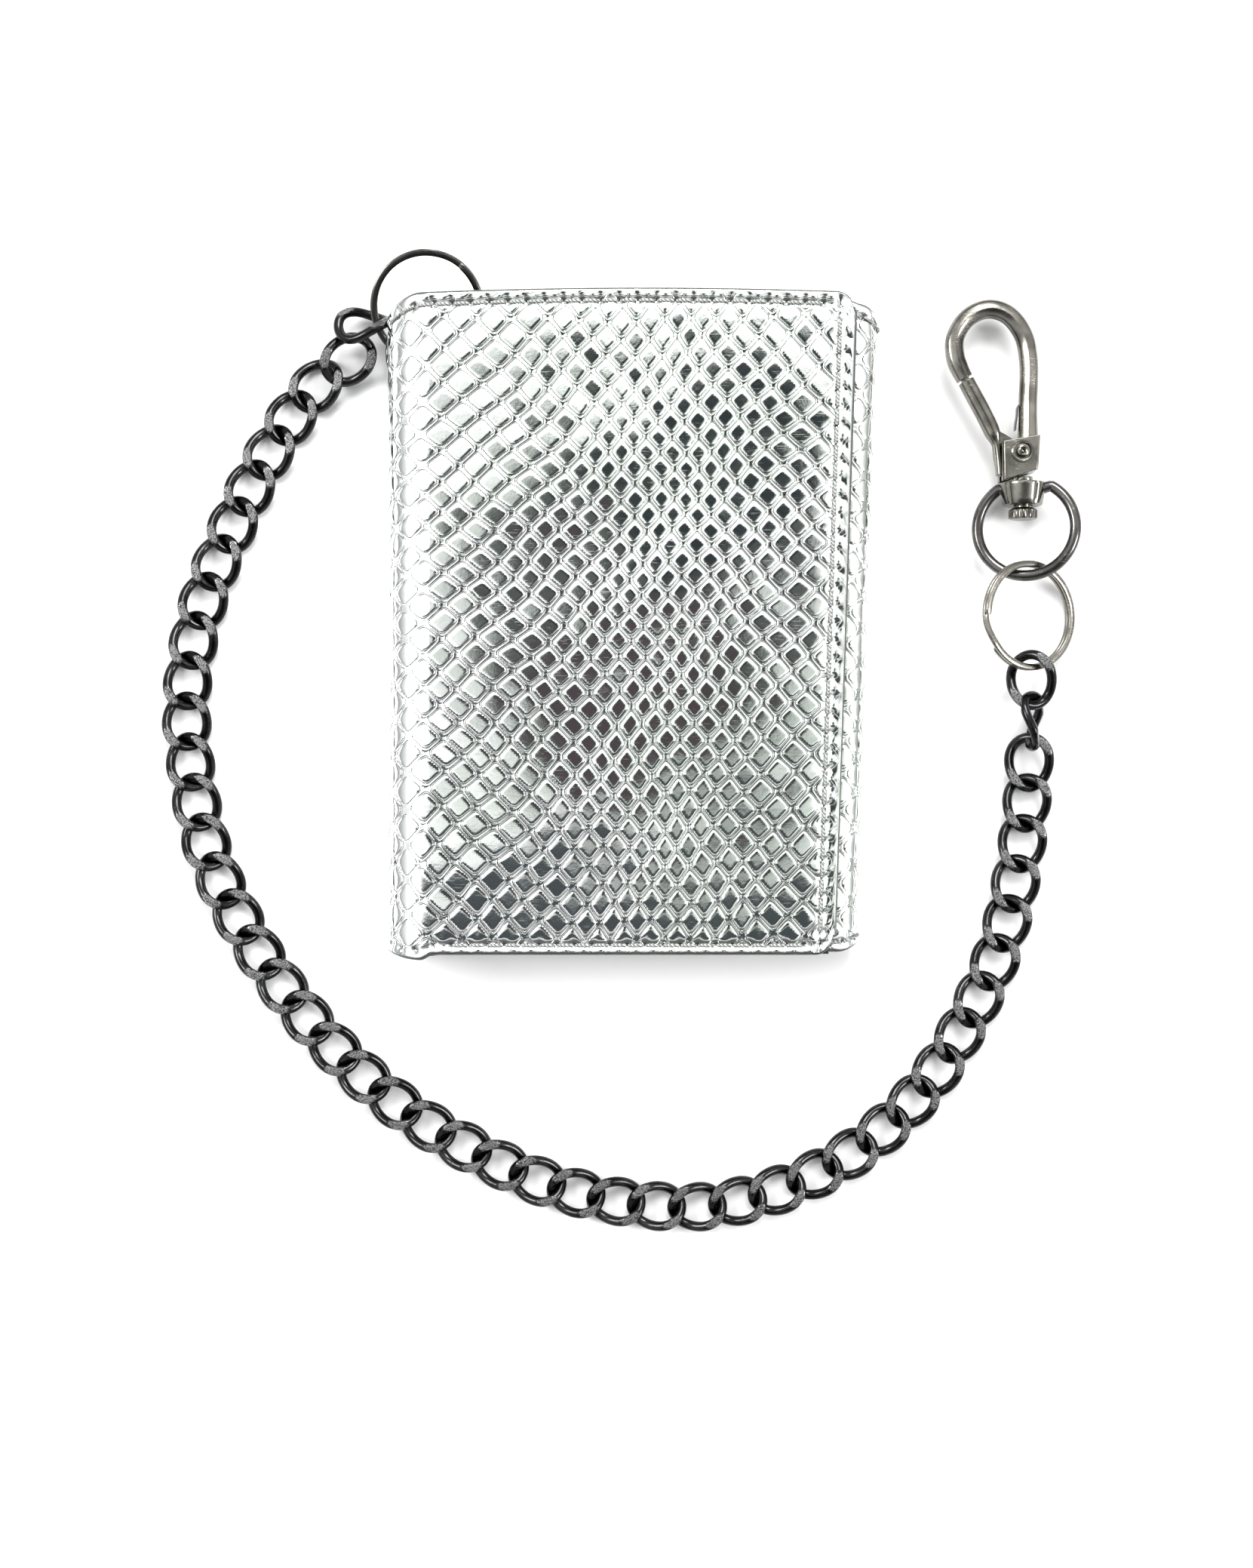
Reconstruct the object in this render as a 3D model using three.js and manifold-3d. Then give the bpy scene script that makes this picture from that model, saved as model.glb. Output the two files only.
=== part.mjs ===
// Trifold wallet with a curb chain, a split ring at each end of the chain and a swivel snap hook.
// Millimetres, +Z up. The wallet lies closed on its back panel, whose underside is z = 0, with
// the panel's middle at the origin. +Y points to the wallet's top edge, +X to its open right side.
import * as THREE from 'three';
import { mergeVertices } from 'three/addons/utils/BufferGeometryUtils.js';
import { ParametricGeometry } from 'three/addons/geometries/ParametricGeometry.js';
import Module from 'manifold-3d';

const wasm = await Module();
wasm.setup();

// ---- driving dimensions: wallet -----------------------------------------------------------

const WALLET_HEIGHT = 115;
const COVER = 1.2; // outer leather
const LINER = 0.5; // pocket and lining leather
const GAP = 0.3; // air between pieces that rest on each other
const CLOSED_THICKNESS = 14.6;
const LEFT_FOLD_X = -35; // where the left fold meets the flat panels
const RIGHT_FOLD_X = 37.45; // where the right fold meets them, at mid height
const FLAP_EDGE_X = 36.15; // free edge of the front flap, at mid height
const SIDE_SLANT = 0.034; // x gained per mm of y along both right-hand edges
const FLAP_CORNER = 3;
const INNER_TIP_X = -22; // free edge of the inner flap when folded in
const INNER_FOLD_THICKNESS = 8.4;

const LINING_INSET = 1; // from a cover's edge to its lining's
const FREE_EDGE_INSET = 0.5; // the same at a flap's free edge
const SLOT_INSET = 2; // from a cover's edge to a card slot's
const DIVIDER_DROP = 3; // from the top edge to the bill divider's
const FIRST_SLOT_DROP = 14; // from the top edge to the rearmost card slot's
const SLOT_STEP = 12; // each card slot opens this much lower than the one behind it
const SLOT_COUNT = { centre: 3, inner: 2, front: 3 };

// The eyelet sits low in the left fold; its angle is measured round the fold from straight down.
// Its tools are plugs through the fold's wall, centred wallDepth inside the outer face.
const EYELET = { angle: 54, bore: 3.4, barrel: 3.65, flange: 4.1, sheet: 0.35 };
const EYELET_PLUG = { length: 8, wallDepth: 1 };

// ---- driving dimensions: rings and chain --------------------------------------------------

// The split rings' radius is to the middle of the wound wire.
const WALLET_RING = { x: -36.0, y: 56.4, tilt: 19, radius: 9.4 };
const END_RING = { x: 69.9, y: 2.4, z: 5.0, tilt: 26.6, radius: 9.1 };
const RING_WIRE = { radial: 1.2, axial: 1.6, corner: 0.35 };
const RING_ROOM = 3; // the leaves inside the wallet are cut back this far round its ring

const LINK_COUNT = 48;
const LINKS_PER_RUN = 4;
const LINK_WIRE = 1.6;
const LINK_HALF_LENGTH = 4.43; // to the middle of the wire
const LINK_HALF_WIDTH = 3.5;
const LINK_TWIST = -1.0; // height and hand of the wire's wave
const PITCH_IN_RUN = 7.42;
const PITCH_BETWEEN_RUNS = 6.7;
const CHAIN_Z = 1.85;
const BEAD_RADIUS = 1.0;

// Where the middle of the chain lies, from the wallet's ring round to the snap hook's ring.
const CHAIN_ROUTE = [
  [-50.3, 47.9], [-56.4, 43.3], [-65.0, 30.8], [-71.7, 17.1], [-76.8, 3.2], [-79.2, -11.4],
  [-78.2, -26.2], [-74.9, -40.5], [-68.5, -53.8], [-60.3, -65.8], [-50.7, -76.5],
  [-39.7, -85.7], [-27.3, -93.0], [-14.3, -98.6], [0, -101.8], [14.0, -102.2], [27.7, -98.8],
  [40.4, -92.0], [50.9, -82.5], [58.8, -70.7], [64.8, -57.8], [68.3, -43.9], [70.2, -29.7],
  [70.6, -15.3], [70.2, -7.0],
];

// Place, yaw and roll about its own length of the few links that don't lie flat on the route.
const LINK_POSE = {
  1: { x: -47.4, y: 53.8, z: 4.6, yaw: 6, roll: -45 },
  2: { z: 3.2, roll: -12 },
  47: { roll: 70, z: 4.4 },
  48: { roll: -8, z: 5.0 },
};

// ---- driving dimensions: swivel and snap hook ---------------------------------------------

const SWIVEL = { x: 69.0, z: 4.0 };
const BAIL = { x: 69.6, y: 17.9, radius: 8.5, wire: 2.0, roll: -14, rise: 0.075 };
const BAIL_ARC = { start: 142, end: 398, step: 16 };
const PIN = { y: 24, reach: 2.9, boreRadius: 1.35, boreLength: 3.4, boreX: 4.0 };
const COLLAR = { low: 21.9, high: 25.9, step: 23.7, radius: 4.0, foot: 3.4, bore: 1.9 };
const POST = { radius: 1.55, head: 2.6, headLow: 19.4, headHigh: 21.5, top: 25.95 };
const BODY = { thickness: 5.6, slot: 2.4 };
const RIVET = { x: 68.4, y: 31.1, radius: 0.8, head: 1.7, headHeight: 0.5 };
const RIVET_BORE = { low: -1, high: 9 };
const HOOK_BAR_RADIUS = 1.5;
const GATE_BAR_RADIUS = 1.35;
const SPRING_WIDTH = 1.4;
const OVERLAP = 0.1; // where solids of one piece run into each other
const CLEAR_CUT = 1; // how far a cutting tool passes the end of what it cuts

const BODY_OUTLINE = [[65.9, 26.3], [71.4, 26.9], [71.6, 34.4], [65.2, 34.0]];
const HOOK_ROUTE = [
  [69.9, 33.7], [69.9, 40], [70.0, 47.5], [69.0, 52.2], [66.2, 55.7], [62.7, 56.6],
  [59.2, 55.0], [57.0, 51.5], [57.1, 48.0], [58.2, 45.6],
];
const GATE_ROOM = { left: 60, right: 69.9, low: 25, high: 37 };
const GATE_OUTLINE = [
  [58.3, 43.0], [62.9, 33.9], [64.3, 27.0], [65.4, 26.9], [69.6, 30.2], [68.8, 32.5],
  [65.4, 34.6], [60.7, 43.8],
];
const GATE_ROUTE = [[59.6, 43.0], [61.4, 39.4], [63.2, 35.9]];
const SPRING_OUTLINE = [[67.4, 34.6], [67.75, 34.6], [68.1, 39.4], [67.8, 39.4]];

// ---- mesh resolution ----------------------------------------------------------------------

const SIDES = { barrel: 24, plug: 28, small: 16, rivetHead: 20, ring: 36, bar: 10, bail: 8 };
const STEPS = { corner: 4, fold: 12, bail: 40, hook: 30, gate: 3 };
const LINK_MESH = { around: 12, section: 6, samples: 60 };
const ROUTE_DIVISIONS = 1200;
const WELD = 1e-4;

// ---- finishes -----------------------------------------------------------------------------

const finish = (color, roughness, metalness) => ({ color, roughness, metalness });
const SILVER_SKIN = finish(0xd6dad8, 0.25, 0.7);
const BLACK_LINER = finish(0x1d1d1f, 0.75, 0.0);
const NICKEL = finish(0x8a887c, 0.25, 1.0);
const GUNMETAL = finish(0x4a4b4d, 0.28, 1.0);

const radians = THREE.MathUtils.degToRad;

// The ring passes through the middle of the fold's wall at the eyelet.
const wallRadius = (CLOSED_THICKNESS - COVER) / 2;
const eyeletX = LEFT_FOLD_X - wallRadius * Math.sin(radians(EYELET.angle));
const eyeletZ = CLOSED_THICKNESS / 2 - wallRadius * Math.cos(radians(EYELET.angle));
const ringReach = Math.sqrt(WALLET_RING.radius ** 2 - (eyeletX - WALLET_RING.x) ** 2);
const eyeletY = WALLET_RING.y - ringReach * Math.cos(radians(WALLET_RING.tilt));
const walletRingZ = eyeletZ + ringReach * Math.sin(radians(WALLET_RING.tilt));

const part = new THREE.Group();

// ---- helpers ------------------------------------------------------------------------------

function solid(geometry) {
  const bare = geometry.clone();
  bare.deleteAttribute('normal');
  bare.deleteAttribute('uv');
  const merged = mergeVertices(bare, WELD);
  return new wasm.Manifold(new wasm.Mesh({
    numProp: 3,
    vertProperties: new Float32Array(merged.attributes.position.array),
    triVerts: new Uint32Array(merged.index.array),
  }));
}

function add(name, shape, look) {
  const mesh = shape.getMesh();
  const geometry = new THREE.BufferGeometry();
  geometry.setAttribute('position', new THREE.BufferAttribute(mesh.vertProperties, 3));
  geometry.setIndex(new THREE.BufferAttribute(mesh.triVerts, 1));
  geometry.computeVertexNormals();
  const node = new THREE.Mesh(geometry, new THREE.MeshStandardMaterial(look));
  node.name = name;
  part.add(node);
}

function box(low, high) {
  const size = high.map((value, axis) => value - low[axis]);
  const geometry = new THREE.BoxGeometry(...size);
  return solid(geometry.translate(...low.map((value, axis) => value + size[axis] / 2)));
}

// A cylinder along +Y between two heights, about the swivel's axis.
function barrel(radius, low, high, sides = SIDES.barrel) {
  const geometry = new THREE.CylinderGeometry(radius, radius, high - low, sides);
  return solid(geometry.translate(SWIVEL.x, (low + high) / 2, SWIVEL.z));
}

// A cylinder along +Z between two heights.
function disc(radius, low, high, x, y, sides = SIDES.barrel) {
  const geometry = new THREE.CylinderGeometry(radius, radius, high - low, sides);
  geometry.rotateX(Math.PI / 2);
  return solid(geometry.translate(x, y, (low + high) / 2));
}

const atHeight = (z) => ([x, y]) => new THREE.Vector3(x, y, z);

// A round wire along an open curve.
function wire(points, radius, steps, sides) {
  const circle = new THREE.Shape();
  circle.absarc(0, 0, radius, 0, 2 * Math.PI);
  const path = new THREE.CatmullRomCurve3(points, false, 'centripetal');
  const options = { steps, extrudePath: path, curveSegments: sides / 2 };
  return solid(new THREE.ExtrudeGeometry(circle, options));
}

// A flat outline made into a plate that is centred on the swivel's height.
function plate(outline, thickness) {
  const shape = new THREE.Shape(outline.map(([x, y]) => new THREE.Vector2(x, y)));
  const geometry = new THREE.ExtrudeGeometry(shape, { depth: thickness, bevelEnabled: false });
  return solid(geometry.translate(0, 0, SWIVEL.z - thickness / 2));
}

// A flat leather sheet with the given outline, sheared so that its right edge slants.
function sheet(left, right, bottom, top, z, thickness, corner = 0) {
  const outline = new THREE.Shape();
  outline.moveTo(left, bottom);
  outline.lineTo(right - corner, bottom);
  if (corner > 0) outline.absarc(right - corner, bottom + corner, corner, -Math.PI / 2, 0);
  outline.lineTo(right, top - corner);
  if (corner > 0) outline.absarc(right - corner, top - corner, corner, 0, Math.PI / 2);
  outline.lineTo(left, top);
  const options = { depth: thickness, bevelEnabled: false, curveSegments: STEPS.corner };
  const geometry = new THREE.ExtrudeGeometry(outline, options).translate(0, 0, z);
  const position = geometry.attributes.position;
  for (let i = 0; i < position.count; i += 1) {
    const x = position.getX(i);
    const share = (x - left) / (right - left);
    position.setX(i, x + SIDE_SLANT * share * position.getY(i));
  }
  return solid(geometry);
}

// Half a tube along Y, of the given wall, that joins the panels of a fold of the given height.
// grow moves the wall outwards from the leather's own outer face.
function foldShell(x, height, side, slant, wall = COVER, grow = 0) {
  const outer = height / 2 + grow;
  const section = new THREE.Shape();
  const start = -side * Math.PI / 2;
  section.absarc(0, height / 2, outer, start, start + Math.PI);
  section.absarc(0, height / 2, outer - wall, start + Math.PI, start, true);
  const options = { depth: WALLET_HEIGHT, bevelEnabled: false, curveSegments: STEPS.fold };
  const geometry = new THREE.ExtrudeGeometry(section, options);
  geometry.rotateX(Math.PI / 2).translate(x, WALLET_HEIGHT / 2, 0);
  const shear = new THREE.Matrix4().makeShear(0, 0, slant, 0, 0, 0);
  return solid(geometry.applyMatrix4(shear));
}

// A plug through the left fold's wall at the eyelet.
function eyeletPlug(radius) {
  const middle = CLOSED_THICKNESS / 2;
  const geometry = new THREE.CylinderGeometry(radius, radius, EYELET_PLUG.length, SIDES.plug);
  geometry.rotateX(Math.PI / 2);
  geometry.translate(0, 0, EYELET_PLUG.wallDepth - middle).rotateY(radians(EYELET.angle));
  return solid(geometry.translate(LEFT_FOLD_X, eyeletY, middle));
}

// A split ring closed up to one flat band with eased corners, tilted about the given axis.
function splitRing(ring, z, axis) {
  const { radial, axial, corner } = RING_WIRE;
  const inner = ring.radius - radial / 2;
  const outer = ring.radius + radial / 2;
  const side = axial / 2;
  const profile = [
    [inner, -side + corner], [inner + corner, -side], [outer - corner, -side],
    [outer, -side + corner], [outer, side - corner], [outer - corner, side],
    [inner + corner, side], [inner, side - corner], [inner, -side + corner],
  ].map(([r, height]) => new THREE.Vector2(r, height));
  const geometry = new THREE.LatheGeometry(profile, SIDES.ring);
  geometry.rotateX(Math.PI / 2);
  geometry.applyQuaternion(new THREE.Quaternion().setFromAxisAngle(axis, radians(ring.tilt)));
  return solid(geometry.translate(ring.x, ring.y, z));
}

// ---- wallet: back panel -------------------------------------------------------------------

const half = WALLET_HEIGHT / 2;
const leafPitch = LINER + GAP;
const slotTop = (number) => half - FIRST_SLOT_DROP - number * SLOT_STEP;
const ringRoom = disc(
  WALLET_RING.radius + RING_ROOM, COVER, CLOSED_THICKNESS / 2, WALLET_RING.x, WALLET_RING.y,
);

const backCover = sheet(LEFT_FOLD_X + GAP, RIGHT_FOLD_X - GAP, -half, half, 0, COVER);
add('back_cover', backCover, SILVER_SKIN);

const dividerZ = COVER + GAP;
const divider = sheet(
  LEFT_FOLD_X + LINING_INSET, RIGHT_FOLD_X - LINING_INSET,
  -half + LINING_INSET, half - DIVIDER_DROP, dividerZ, LINER,
);
add('bill_divider', divider.subtract(ringRoom), BLACK_LINER);

for (let i = 0; i < SLOT_COUNT.centre; i += 1) {
  const slot = sheet(
    LEFT_FOLD_X + SLOT_INSET, RIGHT_FOLD_X - SLOT_INSET,
    -half + SLOT_INSET, slotTop(i), dividerZ + (i + 1) * leafPitch, LINER,
  );
  add(`centre_card_slot_${i + 1}`, slot.subtract(ringRoom), BLACK_LINER);
}

// ---- wallet: inner flap, folded in from the right -----------------------------------------

const innerCoverZ = INNER_FOLD_THICKNESS - COVER;
const innerCover = sheet(INNER_TIP_X, RIGHT_FOLD_X - GAP, -half, half, innerCoverZ, COVER);
add('inner_cover', innerCover, SILVER_SKIN);

const innerLining = sheet(
  INNER_TIP_X + FREE_EDGE_INSET, RIGHT_FOLD_X - LINING_INSET,
  -half + LINING_INSET, half - LINING_INSET, innerCoverZ - leafPitch, LINER,
);
add('inner_lining', innerLining, BLACK_LINER);

for (let i = 0; i < SLOT_COUNT.inner; i += 1) {
  const slot = sheet(
    INNER_TIP_X + LINING_INSET, RIGHT_FOLD_X - SLOT_INSET,
    -half + SLOT_INSET, slotTop(i), innerCoverZ - (i + 2) * leafPitch, LINER,
  );
  add(`inner_card_slot_${i + 1}`, slot, BLACK_LINER);
}

// ---- wallet: front flap, folded over from the left ----------------------------------------

const frontCoverZ = CLOSED_THICKNESS - COVER;
const frontCover = sheet(
  LEFT_FOLD_X + GAP, FLAP_EDGE_X, -half, half, frontCoverZ, COVER, FLAP_CORNER,
);
add('front_cover', frontCover, SILVER_SKIN);

const frontLining = sheet(
  LEFT_FOLD_X + LINING_INSET, FLAP_EDGE_X - FREE_EDGE_INSET,
  -half + LINING_INSET, half - LINING_INSET, frontCoverZ - leafPitch, LINER,
);
add('front_lining', frontLining, BLACK_LINER);

for (let i = 0; i < SLOT_COUNT.front; i += 1) {
  const slot = sheet(
    LEFT_FOLD_X + SLOT_INSET, FLAP_EDGE_X - SLOT_INSET,
    -half + SLOT_INSET, slotTop(i), frontCoverZ - (i + 2) * leafPitch, LINER,
  );
  add(`front_card_slot_${i + 1}`, slot, BLACK_LINER);
}

// ---- wallet: folds and eyelet -------------------------------------------------------------

const leftShell = (wall, grow) => foldShell(LEFT_FOLD_X, CLOSED_THICKNESS, -1, 0, wall, grow);
add('left_fold', leftShell(COVER, 0).subtract(eyeletPlug(EYELET.barrel + GAP)), SILVER_SKIN);
const rightShell = foldShell(RIGHT_FOLD_X, INNER_FOLD_THICKNESS, 1, SIDE_SLANT);
add('right_fold', rightShell, SILVER_SKIN);

const eyeletBore = eyeletPlug(EYELET.bore);
const eyeletFlange = leftShell(EYELET.sheet, GAP + EYELET.sheet)
  .intersect(eyeletPlug(EYELET.flange));
const eyeletBarrel = leftShell(COVER + EYELET.sheet, GAP + EYELET.sheet / 2)
  .intersect(eyeletPlug(EYELET.barrel));
add('eyelet', eyeletFlange.add(eyeletBarrel).subtract(eyeletBore), NICKEL);

const washer = leftShell(EYELET.sheet, -COVER - GAP).intersect(eyeletPlug(EYELET.flange));
add('eyelet_washer', washer.subtract(eyeletBore), NICKEL);

// ---- split rings --------------------------------------------------------------------------

const X_AXIS = new THREE.Vector3(1, 0, 0);
const Y_AXIS = new THREE.Vector3(0, 1, 0);
add('wallet_split_ring', splitRing(WALLET_RING, walletRingZ, X_AXIS), NICKEL);
add('end_split_ring', splitRing(END_RING, END_RING.z, Y_AXIS), NICKEL);

// ---- chain --------------------------------------------------------------------------------

const route = new THREE.CatmullRomCurve3(CHAIN_ROUTE.map(atHeight(0)), false, 'centripetal');
route.arcLengthDivisions = ROUTE_DIVISIONS;
const routeLength = route.getLength();

// A twisted oval: the wire rises and falls twice round the link, so that links nest flat.
const wireCentre = (angle) => new THREE.Vector3(
  LINK_HALF_LENGTH * Math.cos(angle),
  LINK_HALF_WIDTH * Math.sin(angle),
  LINK_TWIST * Math.sin(2 * angle),
);

function linkShape() {
  const outward = new THREE.Vector3();
  const surface = (u, v, target) => {
    const angle = 2 * Math.PI * (u % 1);
    const turn = 2 * Math.PI * (v % 1);
    outward.set(Math.cos(angle) / LINK_HALF_LENGTH, Math.sin(angle) / LINK_HALF_WIDTH, 0);
    outward.normalize();
    target.copy(wireCentre(angle)).addScaledVector(outward, LINK_WIRE / 2 * Math.cos(turn));
    target.z += LINK_WIRE / 2 * Math.sin(turn);
  };
  return new ParametricGeometry(surface, LINK_MESH.around, LINK_MESH.section);
}

const link = solid(linkShape());

// The links of a run touch without sliding, so a bead joins them where their wires come closest.
const bead = solid(new THREE.IcosahedronGeometry(BEAD_RADIUS, 0));
const wireSamples = Array.from(
  { length: LINK_MESH.samples },
  (_, i) => wireCentre(2 * Math.PI * i / LINK_MESH.samples),
);

function closestPoint(first, second) {
  const wires = [first, second].map((m) => wireSamples.map((p) => p.clone().applyMatrix4(m)));
  let best = Infinity;
  const middle = new THREE.Vector3();
  for (const a of wires[0]) {
    for (const b of wires[1]) {
      const apart = a.distanceToSquared(b);
      if (apart < best) {
        best = apart;
        middle.addVectors(a, b).multiplyScalar(0.5);
      }
    }
  }
  return middle;
}

function placeLink(number, distance) {
  const at = Math.min(distance / routeLength, 1);
  const point = route.getPointAt(at);
  const tangent = route.getTangentAt(at);
  const pose = { x: point.x, y: point.y, z: CHAIN_Z, roll: 0, ...LINK_POSE[number] };
  const yaw = pose.yaw === undefined ? Math.atan2(tangent.y, tangent.x) : radians(pose.yaw);
  const turn = new THREE.Matrix4().makeRotationZ(yaw);
  turn.multiply(new THREE.Matrix4().makeRotationX(radians(pose.roll)));
  return turn.setPosition(pose.x, pose.y, pose.z);
}

let distance = -PITCH_IN_RUN;
let run = null;
let previous = null;
for (let number = 1; number <= LINK_COUNT; number += 1) {
  const place = placeLink(number, Math.max(distance, 0));
  const shape = link.transform(place.elements);
  if (number % LINKS_PER_RUN === 1) {
    run = shape;
  } else {
    run = run.add(shape).add(bead.translate(closestPoint(previous, place).toArray()));
  }
  if (number % LINKS_PER_RUN === 0) {
    const label = String(number / LINKS_PER_RUN).padStart(2, '0');
    add(`chain_run_${label}`, run, GUNMETAL);
  }
  distance += number % LINKS_PER_RUN === 0 ? PITCH_BETWEEN_RUNS : PITCH_IN_RUN;
  previous = place;
}

// ---- swivel -------------------------------------------------------------------------------

const rollMatrix = new THREE.Matrix4().makeTranslation(SWIVEL.x, 0, SWIVEL.z);
rollMatrix.multiply(new THREE.Matrix4().makeRotationY(radians(BAIL.roll)));
rollMatrix.multiply(new THREE.Matrix4().makeTranslation(-SWIVEL.x, 0, -SWIVEL.z));
const rolled = (shape) => shape.transform(rollMatrix.elements);

const bailPoints = [new THREE.Vector3(SWIVEL.x - PIN.reach, PIN.y, SWIVEL.z)];
for (let angle = BAIL_ARC.start; angle <= BAIL_ARC.end; angle += BAIL_ARC.step) {
  const x = BAIL.x + BAIL.radius * Math.cos(radians(angle));
  const y = BAIL.y + BAIL.radius * Math.sin(radians(angle));
  bailPoints.push(new THREE.Vector3(x, y, SWIVEL.z + BAIL.rise * (PIN.y - y)));
}
bailPoints.push(new THREE.Vector3(SWIVEL.x + PIN.reach, PIN.y, SWIVEL.z));
const bail = wire(bailPoints, BAIL.wire / 2, STEPS.bail, SIDES.bail);
add('swivel_ring', rolled(bail), GUNMETAL);

function pinBore(side) {
  const { boreRadius, boreLength } = PIN;
  const bore = new THREE.CylinderGeometry(boreRadius, boreRadius, boreLength, SIDES.small);
  bore.rotateZ(Math.PI / 2);
  return solid(bore.translate(SWIVEL.x + side * PIN.boreX, PIN.y, SWIVEL.z));
}

const collar = barrel(COLLAR.radius, COLLAR.step, COLLAR.high)
  .add(barrel(COLLAR.foot, COLLAR.low, COLLAR.step + OVERLAP))
  .subtract(barrel(COLLAR.bore, COLLAR.low - CLEAR_CUT, COLLAR.high + CLEAR_CUT))
  .subtract(pinBore(-1))
  .subtract(pinBore(1));
add('swivel_collar', rolled(collar), NICKEL);

const post = barrel(POST.radius, POST.headHigh - OVERLAP, POST.top)
  .add(barrel(POST.head, POST.headLow, POST.headHigh, SIDES.small));
add('swivel_post', post, NICKEL);

// ---- snap hook ----------------------------------------------------------------------------

const bodyLow = SWIVEL.z - BODY.thickness / 2;
const bodyHigh = bodyLow + BODY.thickness;
const gateRoom = box(
  [GATE_ROOM.left, GATE_ROOM.low, SWIVEL.z - BODY.slot / 2],
  [GATE_ROOM.right, GATE_ROOM.high, SWIVEL.z + BODY.slot / 2],
);
const rivetBore = disc(
  RIVET.radius + GAP, RIVET_BORE.low, RIVET_BORE.high, RIVET.x, RIVET.y, SIDES.small,
);
const hookBar = wire(HOOK_ROUTE.map(atHeight(SWIVEL.z)), HOOK_BAR_RADIUS, STEPS.hook, SIDES.bar);
const hook = plate(BODY_OUTLINE, BODY.thickness)
  .subtract(gateRoom)
  .add(hookBar)
  .subtract(rivetBore);
add('hook_body', hook, NICKEL);

// The gate is a bar that closes the mouth, with a flat tail that turns on the rivet.
const gateBar = wire(GATE_ROUTE.map(atHeight(SWIVEL.z)), GATE_BAR_RADIUS, STEPS.gate, SIDES.bar);
const gate = plate(GATE_OUTLINE, BODY.slot - 2 * GAP).add(gateBar).subtract(rivetBore);
add('gate', gate, NICKEL);

const rivetShank = disc(
  RIVET.radius, bodyLow - GAP, bodyHigh + GAP + OVERLAP, RIVET.x, RIVET.y, SIDES.small,
);
const rivetHead = (z) => disc(
  RIVET.head, z, z + RIVET.headHeight, RIVET.x, RIVET.y, SIDES.rivetHead,
);
const rivet = rivetShank
  .add(rivetHead(bodyLow - GAP - RIVET.headHeight))
  .add(rivetHead(bodyHigh + GAP));
add('gate_rivet', rivet, NICKEL);

// A leaf spring between the right bar and the gate's tail.
add('gate_spring', plate(SPRING_OUTLINE, SPRING_WIDTH), NICKEL);

export default part;
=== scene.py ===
"""Chain wallet: a trifold in silver embossed leather with a curb chain and a snap hook.

Sizes in the classes are millimetres in the part's own frame; meshes are written in metres.
The wallet lies on its back panel, +Z up, +Y to its top edge and +X to its open side.
"""

import logging
from collections.abc import Sequence
from dataclasses import dataclass, field
from enum import Enum

import bpy
import numpy as np
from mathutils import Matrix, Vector


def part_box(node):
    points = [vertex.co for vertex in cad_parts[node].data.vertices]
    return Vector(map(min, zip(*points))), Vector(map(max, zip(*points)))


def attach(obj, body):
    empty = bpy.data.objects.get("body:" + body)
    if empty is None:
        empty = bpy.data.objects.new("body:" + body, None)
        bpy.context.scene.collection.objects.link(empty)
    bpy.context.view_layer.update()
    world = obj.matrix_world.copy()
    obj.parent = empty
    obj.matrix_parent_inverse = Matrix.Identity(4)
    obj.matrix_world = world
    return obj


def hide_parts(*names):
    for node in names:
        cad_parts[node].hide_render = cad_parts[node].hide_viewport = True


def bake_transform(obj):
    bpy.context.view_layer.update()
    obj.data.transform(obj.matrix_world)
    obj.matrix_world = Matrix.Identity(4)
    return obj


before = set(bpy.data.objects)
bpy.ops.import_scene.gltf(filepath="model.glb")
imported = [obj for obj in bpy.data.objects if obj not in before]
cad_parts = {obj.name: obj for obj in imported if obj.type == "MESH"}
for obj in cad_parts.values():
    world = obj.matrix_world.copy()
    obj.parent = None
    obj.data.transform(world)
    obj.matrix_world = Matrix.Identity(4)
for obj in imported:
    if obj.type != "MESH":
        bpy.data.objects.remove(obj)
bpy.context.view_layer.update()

MM = 0.001
TAU = 2 * np.pi
UP = np.array([0.0, 0.0, 1.0])
SPAN_STEPS = 80
BEVEL_STEPS = 3
BEVEL_ANGLE = 32
SCALE_POWER = 5.0
SCALE_CUT_AT = 0.84
SCALE_CUT_SLOPE = 0.62
log = logging.getLogger("chain_wallet")


class Slot(Enum):
    """Names of the record's material slots."""

    SKIN = "silver_skin"
    LINER = "black_liner"
    RINGS = "nickel_rings"
    CHAIN = "gunmetal_chain"
    CLASP = "nickel_clasp"


class Cap(Enum):
    """How the ends of a tube of points are closed."""

    NONE = "none"
    FAN = "fan"
    POLYGON = "polygon"


# ---- arrays ---------------------------------------------------------------------------------


def smoothstep(low: float, high: float, value: np.ndarray) -> np.ndarray:
    """Rise from 0 at low to 1 at high along the curve 3t² − 2t³."""
    t = np.clip((value - low) / (high - low), 0, 1)
    return t * t * (3 - 2 * t)


def hashed(first: np.ndarray, second: np.ndarray, seed: float) -> np.ndarray:
    """Even spread of values in 0..1, one for each pair of whole numbers."""
    wave = np.sin(first * 127.1 + second * 311.7 + seed * 74.7) * 43758.5453
    return wave - np.floor(wave)


def unit(vectors: np.ndarray) -> np.ndarray:
    """Vectors along the last axis, made of length one."""
    return vectors / np.maximum(np.linalg.norm(vectors, axis=-1, keepdims=True), 1e-12)


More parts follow.
